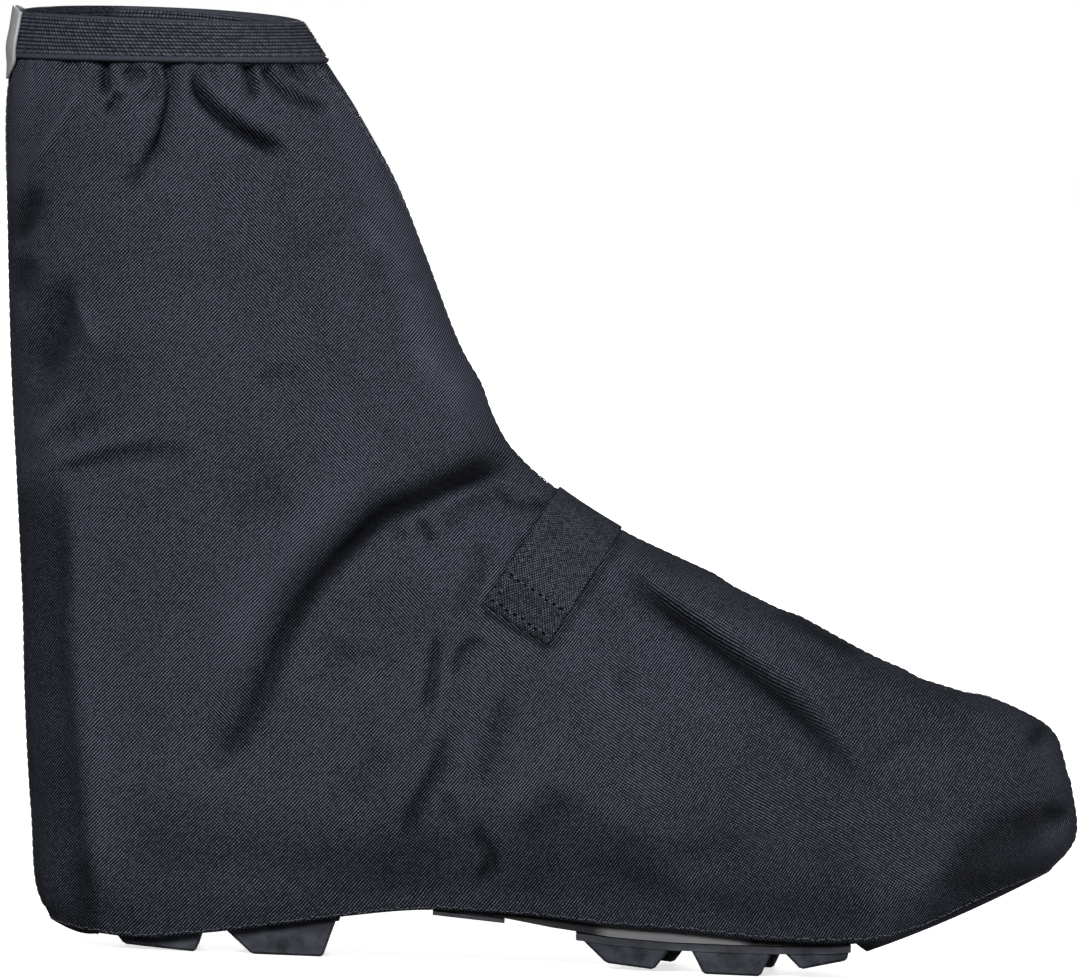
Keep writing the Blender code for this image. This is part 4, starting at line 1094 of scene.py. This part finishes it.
def opening_ring(hem):
    """Edge of the opening under the foot: the turned-in hem, straight at the heel and bowed at the toe."""
    edge = inset_in_plan(hem, HEM_TURN_IN)
    behind = edge[:, 0] < OPENING_BACK
    front = OPENING_FRONT - OPENING_BOW * (edge[:, 1] / LEVELS[0].lat_toe) ** 2
    before = edge[:, 0] > front
    edge[:, 0] = np.clip(edge[:, 0], OPENING_BACK, front)
    edge[:, 2] = hem_height(edge[:, 0])
    edge[behind, 2] -= HEEL_PANEL_DROP
    crown = np.clip(1 - (edge[:, 1] / LEVELS[0].lat_toe) ** 2, 0, 1)
    edge[before, 2] -= TOE_PANEL_DROP * crown[before]
    return edge


def panel_rings(edge, hem, shares):
    """Rings of the turned-in panels between the edge of the opening and the hem."""
    length = np.linalg.norm(hem - edge, axis=1)
    bulge = TOE_PANEL_BULGE * ease(*LONG_PANEL, length)
    t = np.asarray(shares)[:, None]
    rings = edge[None] + (hem - edge)[None] * t[..., None]
    rings[..., 2] -= 4 * bulge[None] * t * (1 - t)
    return rings


def grid_normals(points):
    """Normals of a tube of points, from its neighbours round each ring and from ring to ring."""
    around = np.roll(points, -1, axis=1) - np.roll(points, 1, axis=1)
    up = np.gradient(points, axis=0)
    return unit(np.cross(around, up))


def turned_away(points, normal, turn):
    """Length of fabric that the side view hides between the middle of the side and each point of its ring."""
    step = np.linalg.norm(np.diff(points, axis=1, prepend=points[:, :1]), axis=-1)
    facing = np.abs(normal[..., 1]) / np.hypot(normal[..., 0], normal[..., 1])
    run = np.cumsum(step * (1 - facing), axis=1)
    outer_middle = np.abs(turn - 0.25).argmin()
    inner_middle = np.abs(turn - 0.75).argmin()
    return np.abs(run - run[:, np.where(turn <= 0.5, outer_middle, inner_middle)])


def weave_of(points, normal, folded, hidden):
    """Place on each side's flat fabric, unrolled from the side view, and its share of rising lines."""
    flat = points[..., [0, 2]] + UNROLLED * unit(normal[..., [0, 2]]) * np.asarray(hidden)[..., None]
    off_x, off_z = np.moveaxis(flat - np.array(GRAIN_PIVOT), -1, 0)
    along_foot = points[..., 0] - GRAIN_SHAFT_SLOPE * (points[..., 2] - GRAIN_PIVOT[1])
    shaft_turn, toe_turn = np.radians(GRAIN_TURN)
    turn = shaft_turn + (toe_turn - shaft_turn) * ease(*GRAIN_TURNS_OVER, along_foot)
    u = off_x * np.cos(turn) + off_z * np.sin(turn)
    v = off_z * np.cos(turn) - off_x * np.sin(turn)
    lean = (folded - normal) @ np.array(LEAN_DIRECTION)
    rising = RISING_SHARE + FOLD_PULL * lean + sum(fold_relief(patch, points) for patch in PATCHES)
    return np.stack([u, v, np.clip(rising, 0, 1)], -1)


def weave_below(points):
    """Place on the flat fabric of the panels under the foot, seen from above."""
    return np.concatenate([points[..., :2], np.full((*points.shape[:2], 1), RISING_SHARE)], -1)


def inside_rings(levels, turn, raised):
    """Rings of the inside, from the top down, under the deepest trough near each point, and their normals."""
    deepest = np.min([np.roll(raised, shift, axis=1) for shift in LINING_SHIFTS], axis=0)
    inner_levels = np.linspace(INNER_FROM, FABRIC_TOP_LEVEL, INNER_RINGS)
    step = inner_levels[1] - inner_levels[0]
    lowest = np.stack([deepest[np.abs(levels - level) <= step].min(axis=0) for level in inner_levels])
    point = gaiter(inner_levels[:, None], turn[None, :])
    normal = gaiter_normal(inner_levels[:, None], turn[None, :])
    inside = point + pressed(point, normal) * lowest[..., None] - normal * WALL
    return inside[::-1], normal[::-1]


def build_upper(finish):
    """The fabric gaiter as one closed wall: panels under the foot, the folded outside, then the inside."""
    turn = column_turns()
    levels = ring_levels()
    base = gaiter(levels[:, None], turn[None, :])
    outer, normal, raised = fabric(levels[:, None], turn[None, :])
    inner, inner_normal = inside_rings(levels, turn, raised)
    edge = opening_ring(outer[0])
    shares = np.arange(PANEL_RINGS) / PANEL_RINGS
    under = panel_rings(edge, outer[0], shares)
    lining = panel_rings(edge + np.array([0.0, 0.0, WALL]), inner[-1], shares)[::-1]
    rings = np.concatenate([under, outer, inner, lining])
    outside_weave = weave_of(base, normal, grid_normals(outer), turned_away(base, normal, turn))
    inside_weave = weave_of(inner, inner_normal, inner_normal, turned_away(inner, inner_normal, turn))
    weave = np.concatenate([weave_below(under), outside_weave, inside_weave, weave_below(lining)])
    # Painted shading: the shades' painted shade and light, lighter panels under the foot, and painted shade
    # in the troughs of the folds with painted light on their ridges
    tone = painted_shading_of(rings)
    tone[:len(under)] *= PANEL_TONE
    tone[len(under):len(under) + len(outer)] *= painted_fold_shading(raised)
    faces = grid_faces(len(rings), FABRIC_COLUMNS, close_rows=True, close_columns=True)
    points = rings.reshape(-1, 3)
    add_piece("gaiter_shell", points, faces, finish, "upper", weave.reshape(-1, 3), tone)


def band_profile():
    """Level and offset of the band's closed outline: up the outside, over the rim and down the inside."""
    height = np.linspace(0, 1, BAND_STEPS)
    low, high = BAND_ROW_SPAN
    rows = (height - low) / (high - low) * BAND_ROWS
    rib = np.where((height > low) & (height < high), np.abs(np.sin(np.pi * rows)) ** BAND_RIB_POWER, 0)
    lip_at, lip_width, lip_rise = BAND_LIP
    lip = lip_rise * np.exp(-(((height - lip_at) / lip_width) ** 2))
    crown = BAND_BULGE * np.sqrt(np.clip(1 - (2 * height - 1) ** 4, 0, 1))
    skin = BAND_LAYER - BAND_BULGE + crown + BAND_ROW_RISE * (rib - 0.5)
    top_round = np.sqrt(np.clip(1 - ease(BAND_ROUND_FROM, 1.0, height) ** 2, 0, 1))
    under = -WALL - GAP
    outside = GAP + (skin + lip) * top_round
    inside = under - skin * top_round
    level = BAND_LEVEL + height * (RIM_LEVEL - BAND_LEVEL)
    out = np.stack([level, outside], -1)
    back = np.stack([level, inside], -1)[::-1]
    over_fabric = FABRIC_TOP_LEVEL + BAND_CLEARANCE
    closing = np.array([[BAND_LEVEL, under], [over_fabric, under], [over_fabric, GAP], [BAND_LEVEL, GAP]])
    return np.concatenate([out, back, closing])


def build_collar_band(finish):
    """Knitted elastic folded over the top of the fabric, with its rows and its rolled lower lip."""
    turn = np.arange(BAND_COLUMNS) / BAND_COLUMNS
    profile = band_profile()
    level, offset = profile[:, :1], profile[:, 1:]
    rings = gaiter(level, turn[None]) + gaiter_normal(level, turn[None]) * offset[..., None]
    around = np.broadcast_to(turn[None] * COLLAR_GIRTH, rings.shape[:2])
    height = np.broadcast_to((level - BAND_LEVEL) * BAND_HEIGHT, rings.shape[:2])
    loops = np.broadcast_to((offset < 0) * ease(*LOOP_TURNS, turn[None]), rings.shape[:2])
    weave = np.stack([around, height, loops], -1)
    faces = grid_faces(len(profile), BAND_COLUMNS, close_rows=True, close_columns=True)
    points = rings.reshape(-1, 3)
    add_piece("collar_knit", points, faces, finish, "collar_band", weave.reshape(-1, 3))


def strap_base(run, across):
    """Points of the gaiter under the strap and their normals; run is -1 at the outer end, 1 at the inner."""
    run, across = np.broadcast_arrays(np.asarray(run, float), np.asarray(across, float))
    ridge_x = STRAP_RIDGE_BACK + (STRAP_RIDGE_FRONT - STRAP_RIDGE_BACK) * (across + 1) / 2
    levels = np.linspace(*STRAP_LEVELS, STRAP_LEVEL_STEPS)
    ridge_level = np.interp(-ridge_x, -at_level("front_x", levels), levels)
    x = ridge_x + STRAP_DROP[0] * run**2
    z = at_level("front_z", ridge_level) + STRAP_DROP[1] * run**2
    level, turn = find_on_side(x, z, run)
    return gaiter(level, turn), gaiter_normal(level, turn)


def build_strap(finish):
    """Hook-and-loop strap across the instep, with rounded edges."""
    run = np.linspace(-1, 1, STRAP_RUN_CELLS + 1)[:, None]
    across = np.sin(np.linspace(-np.pi / 2, np.pi / 2, STRAP_ACROSS_CELLS + 1))[None, :]
    base, normal = strap_base(run, across)
    edge = np.minimum((1 - np.abs(across)) * STRAP_WIDTH / 2, (1 - np.abs(run)) * STRAP_LENGTH / 2)
    inset = np.clip(1 - edge / STRAP_EDGE_ROUND, 0, 1)
    drop = STRAP_EDGE_ROUND * (1 - np.sqrt(1 - inset**2))
    lower = base + normal * (GAP + STRAP_UNDERSIDE_ROUND * drop)[..., None]
    upper = base + normal * (GAP + STRAP_THICKNESS - drop)[..., None]
    points, faces = slab(lower, upper)
    shade_from, shade_full, shade_depth = STRAP_SHADE
    shade = 1 - shade_depth * ease(shade_from, shade_full, np.abs(run))
    places = np.broadcast_arrays(run * STRAP_LENGTH / 2, across * STRAP_WIDTH / 2, shade)
    weave = np.tile(np.stack(places, -1).reshape(-1, 3), (2, 1))
    add_piece("instep_tape", points, faces, finish, "instep_strap", weave, outwards=True)


def build_tab(finish):
    """Reflective tape at the back of the collar, bowed out over the lower edge of the band."""
    level = np.linspace(TAB_LEVELS[0], TAB_LEVELS[-1], TAB_ROWS)[:, None]
    across = np.linspace(-1, 1, TAB_COLUMNS)[None, :]
    turn = across * smooth(TAB_LEVELS, TAB_HALF_TURNS, level)
    off = smooth(TAB_LEVELS, TAB_STAND_OFF, level)
    points = gaiter(level, turn)
    slanted = 1 - TAB_SLANT * across**2
    points[..., 2] += TAB_RISE * ease(TAB_LEVELS[-2], TAB_LEVELS[-1], level) * slanted
    normal = gaiter_normal(level, turn)
    lower = points + normal * off[..., None]
    corners, faces = slab(lower, lower + normal * TAB_THICKNESS)
    add_piece("reflective_tab", corners, faces, finish, "back_tab", outwards=True)


def stitch_points(line, normals, thread):
    """Places, directions and normals of stitches along a line of points."""
    length = np.concatenate([[0], np.cumsum(np.linalg.norm(np.diff(line, axis=0), axis=1))])
    middles = np.arange(thread.pitch * thread.start, length[-1], thread.pitch)

    def read(values, at):
        return np.stack([np.interp(at, length, values[:, axis]) for axis in range(3)], -1)

    ahead = read(line, middles + thread.length / 2) - read(line, middles - thread.length / 2)
    return read(line, middles), unit(ahead), unit(read(normals, middles))


def stitches(placed, thread):
    """Points and faces of stitches at the given places, each a short rounded capsule that strays a little."""
    draw = np.random.default_rng(STITCH_SEED)
    stations = STITCH_STATIONS * thread.length
    radii = STITCH_RADII * thread.radius
    angle = np.arange(STITCH_SIDES) * 2 * np.pi / STITCH_SIDES
    points, faces = [], []
    body = grid_faces(len(stations), STITCH_SIDES, close_columns=True)
    last = (len(stations) - 1) * STITCH_SIDES
    caps = [list(range(STITCH_SIDES))[::-1], list(range(last, last + STITCH_SIDES))]
    for first, (middle, ahead, normal) in enumerate(placed):
        shift, slip, slant = thread.stray * draw.uniform(-1, 1, 3)
        aside = unit(np.cross(ahead, normal))
        middle = middle + thread.length / 2 * (shift * aside + slip * ahead)
        ahead = unit(ahead + slant * aside)
        aside = unit(np.cross(ahead, normal))
        ring = np.cos(angle)[:, None] * aside + np.sin(angle)[:, None] * normal
        points.append((middle + stations[:, None, None] * ahead + radii[:, None, None] * ring).reshape(-1, 3))
        start = first * len(stations) * STITCH_SIDES
        faces += [[start + corner for corner in face] for face in [*body.tolist(), *caps]]
    return np.concatenate(points), faces


def sewn(rows, thread):
    """Stitches one after the other along each row, a line of points with its normals."""
    return stitches([place for row in rows for place in zip(*stitch_points(*row, thread))], thread)


def seam_path(rows):
    """Levels and turns along the middle of a seam."""
    level = np.linspace(rows[0].level, rows[-1].level, SEAM_STEPS)
    return level, smooth(column(rows, "level"), column(rows, "turn"), level)


def seam_lines(rows, offsets, lift):
    """Lines of points that run beside a seam's middle at the given distances, on the folded fabric."""
    level, turn = seam_path(rows)
    around = gaiter(level, turn + TURN_STEP) - gaiter(level, turn - TURN_STEP)
    per_turn = np.linalg.norm(around, axis=-1) / (2 * TURN_STEP)
    turns = turn[:, None] + np.asarray(offsets)[None, :] / per_turn[:, None]
    return fabric(level[:, None], turns, np.asarray(lift))[:2]


def build_seam(name, rows, finish):
    """A lapped seam: a strip of the same fabric, raised a little, with its edges sunk into the wall."""
    offsets = SEAM_OFFSETS * SEAM_HALF_WIDTH
    lift = SEAM_PROFILE * SEAM_LIFT
    upper, normal = seam_lines(rows, offsets, lift)
    lower, _ = seam_lines(rows, offsets, np.full_like(lift, -SEAM_SUNK))
    points, faces = slab(lower, upper)
    normals = np.concatenate([normal.reshape(-1, 3)] * 2)
    weave = weave_of(points, normals, normals, np.zeros(len(points)))
    # Painted shade on the strip, along its length, over the painted shading of the fabric
    share = smooth(column(rows, "level"), column(rows, "tone"), seam_path(rows)[0])
    tone = painted_shading_of(points) * np.tile(np.repeat(share, len(offsets)), 2)
    add_piece(name, points, faces, finish, weave=weave, tone=tone, outwards=True)


def build_seam_stitches(finish):
    """Two rows of stitches along each seam."""
    rows = []
    for seam in (FRONT_SEAM, BACK_SEAM):
        for offset in SEAM_STITCH_ROWS:
            line, normal = seam_lines(seam, [offset * SEAM_HALF_WIDTH], SEAM_LIFT)
            rows.append((line[:, 0], normal[:, 0]))
    points, faces = sewn(rows, SEAM_THREAD)
    add_piece("seam_stitches", points, faces, finish)


def build_hem_stitches(finish):
    """One uneven row of stitches along the folded hem."""
    turn = np.linspace(0, 1, FINE_STEPS)
    line, normal, _ = fabric(HEM_THREAD_LEVEL, turn)
    points, faces = sewn([(line, normal)], HEM_THREAD)
    add_piece("hem_stitches", points, faces, finish)


def build_collar_zigzag(finish):
    """Zigzag seam that holds the band, just above its lower lip."""
    count = 2 * int(COLLAR_GIRTH / ZIGZAG_THREAD.pitch / 2)
    turn = np.arange(count + 1) / count
    level = np.where(np.arange(count + 1) % 2, *ZIGZAG_LEVELS)
    normal = gaiter_normal(level, turn)
    line = gaiter(level, turn) + normal * (GAP + BAND_LAYER)
    placed = zip((line[1:] + line[:-1]) / 2, unit(np.diff(line, axis=0)), unit(normal[1:] + normal[:-1]))
    points, faces = stitches(placed, ZIGZAG_THREAD)
    add_piece("collar_zigzag", points, faces, finish)


def strap_line(row, side):
    """Points and normals along a row of stitches, at the strap's outer end (side -1) or inner end (1)."""
    run = side * np.linspace(row.run_from, row.run_to, STRAP_LINE_POINTS)
    base, normal = strap_base(run, np.linspace(row.across_from, row.across_to, STRAP_LINE_POINTS))
    return base + normal * (GAP + STRAP_THICKNESS), normal


def build_strap_stitches(thread, hole_shade):
    """Stitches of the strap and, between them, painted shade in the needle holes: wide in the bold rows,
    small in the others.
    """
    bold = [strap_line(row, side) for row in STRAP_ROWS if row.bold for side in (-1, 1)]
    faint = [strap_line(row, side) for row in STRAP_ROWS if not row.bold for side in (-1, 1)]
    for name, finish, lines, spaced in (
        ("strap_stitches", thread, bold + faint, STRAP_THREAD),
        ("strap_hole_shades", hole_shade, bold, STRAP_HOLE_SHADES),
        ("strap_small_hole_shades", hole_shade, faint, STRAP_SMALL_HOLE_SHADES),
    ):
        points, faces = sewn(lines, spaced)
        add_piece(name, points, faces, finish)


def dress_node(name, finish, bevel=0.0):
    """Gives a solid of the part its finish, and softens its edges where asked."""
    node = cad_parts[name]
    node.data.materials.clear()
    node.data.materials.append(finish)
    if bevel:
        edge = node.modifiers.new("soft_edges", "BEVEL")
        edge.width = bevel * MM
        edge.segments = BEVEL_SEGMENTS
        edge.limit_method = "ANGLE"
        edge.angle_limit = np.radians(BEVEL_ANGLE)


def build_floor():
    """Wide pale floor."""
    mesh = bpy.data.meshes.new("floor")
    corners = [(x * FLOOR_REACH, y * FLOOR_REACH, 0) for x, y in ((-1, -1), (1, -1), (1, 1), (-1, 1))]
    mesh.from_pydata(corners, [], [(0, 1, 2, 3)])
    shader = Shader("pale_floor", Roughness=0.9, Specular_IOR_Level=0.05, Emission_Strength=FLOOR_GLOW)
    mottle = shader.noise(shader.position(), scale=3.0, detail=3.0)
    seen = shader.node("ShaderNodeLightPath", {}, "Is Camera Ray")
    pale = shader.mix(mottle, *FLOOR_COLOURS)
    bounced = shader.mix(seen, grey(FLOOR_BOUNCE), pale)
    shader.finish(Base_Color=bounced, Emission_Color=shader.mix(seen, grey(0.0), pale))
    mesh.materials.append(shader.material)
    floor = bpy.data.objects.new("floor", mesh)
    bpy.context.scene.collection.objects.link(floor)


def build_lights():
    """Suns with soft shadows, one for each lamp."""
    for lamp in LAMPS:
        data = bpy.data.lights.new(lamp.name, "SUN")
        data.energy = lamp.strength
        data.angle = np.radians(lamp.softness)
        made = bpy.data.objects.new(lamp.name, data)
        bpy.context.scene.collection.objects.link(made)
        azimuth, height = np.radians(lamp.azimuth), np.radians(lamp.height)
        x, y = np.sin(azimuth) * np.cos(height), -np.cos(azimuth) * np.cos(height)
        made.rotation_euler = Vector((x, y, np.sin(height))).to_track_quat("Z", "Y").to_euler()


def build_world():
    """White backdrop; as light it is weak, so that the lamps shape the folds."""
    world = bpy.data.worlds.new("studio")
    bpy.context.scene.world = world
    world.use_nodes = True
    tree = world.node_tree
    backdrop = tree.nodes["Background"]
    backdrop.inputs["Color"].default_value = (1.0, 1.0, 1.0, 1.0)
    light = tree.nodes.new("ShaderNodeBackground")
    light.inputs["Color"].default_value = (1.0, 1.0, 1.0, 1.0)
    light.inputs["Strength"].default_value = WORLD_LIGHT
    chooser = tree.nodes.new("ShaderNodeMixShader")
    seen = tree.nodes.new("ShaderNodeLightPath")
    tree.links.new(seen.outputs["Is Camera Ray"], chooser.inputs[0])
    tree.links.new(light.outputs[0], chooser.inputs[1])
    tree.links.new(backdrop.outputs[0], chooser.inputs[2])
    tree.links.new(chooser.outputs[0], tree.nodes["World Output"].inputs[0])


def build_camera():
    """Long lens from the outer side, level with the shoe and rolled as in the picture."""
    data = bpy.data.cameras.new("camera")
    data.sensor_width = SENSOR_WIDTH
    data.lens = SENSOR_WIDTH * CAMERA_DISTANCE / PICTURE_WIDTH
    data.clip_start, data.clip_end = CAMERA_SEES
    height, roll = np.radians(CAMERA_ELEVATION), np.radians(CAMERA_ROLL)
    ahead = Vector((0.0, np.cos(height), -np.sin(height)))
    level_up = Vector((0.0, np.sin(height), np.cos(height)))
    level_right = Vector((1.0, 0.0, 0.0))
    right = level_right * np.cos(roll) + level_up * np.sin(roll)
    up = level_up * np.cos(roll) - level_right * np.sin(roll)
    turned = Matrix((right, up, -ahead)).transposed().to_4x4()
    camera = bpy.data.objects.new("camera", data)
    camera.matrix_world = Matrix.Translation(Vector(CAMERA_TARGET) - ahead * CAMERA_DISTANCE) @ turned
    bpy.context.scene.collection.objects.link(camera)
    bpy.context.scene.camera = camera


def main():
    """Makes all pieces, finishes, lights and the camera."""
    cloth = fabric_material()
    knit = knit_material()
    tape = tape_material()
    thread = thread_material()
    rubber = rubber_material()
    build_upper(cloth)
    build_collar_band(knit)
    build_strap(tape)
    build_tab(reflective_material())
    build_seam("front_seam", FRONT_SEAM, cloth)
    build_seam("back_seam", BACK_SEAM, cloth)
    build_seam_stitches(thread)
    build_hem_stitches(thread)
    build_collar_zigzag(thread)
    build_strap_stitches(thread, needle_hole_shade_material())
    dress_node("sole_plate", plate_material(), PLATE_BEVEL)
    dress_node("heel_tread", rubber)
    dress_node("forefoot_tread", rubber)
    dress_node("underfoot_strap", rubber)
    build_floor()
    build_lights()
    build_world()
    build_camera()
    bpy.context.scene.view_settings.view_transform = "Standard"


main()
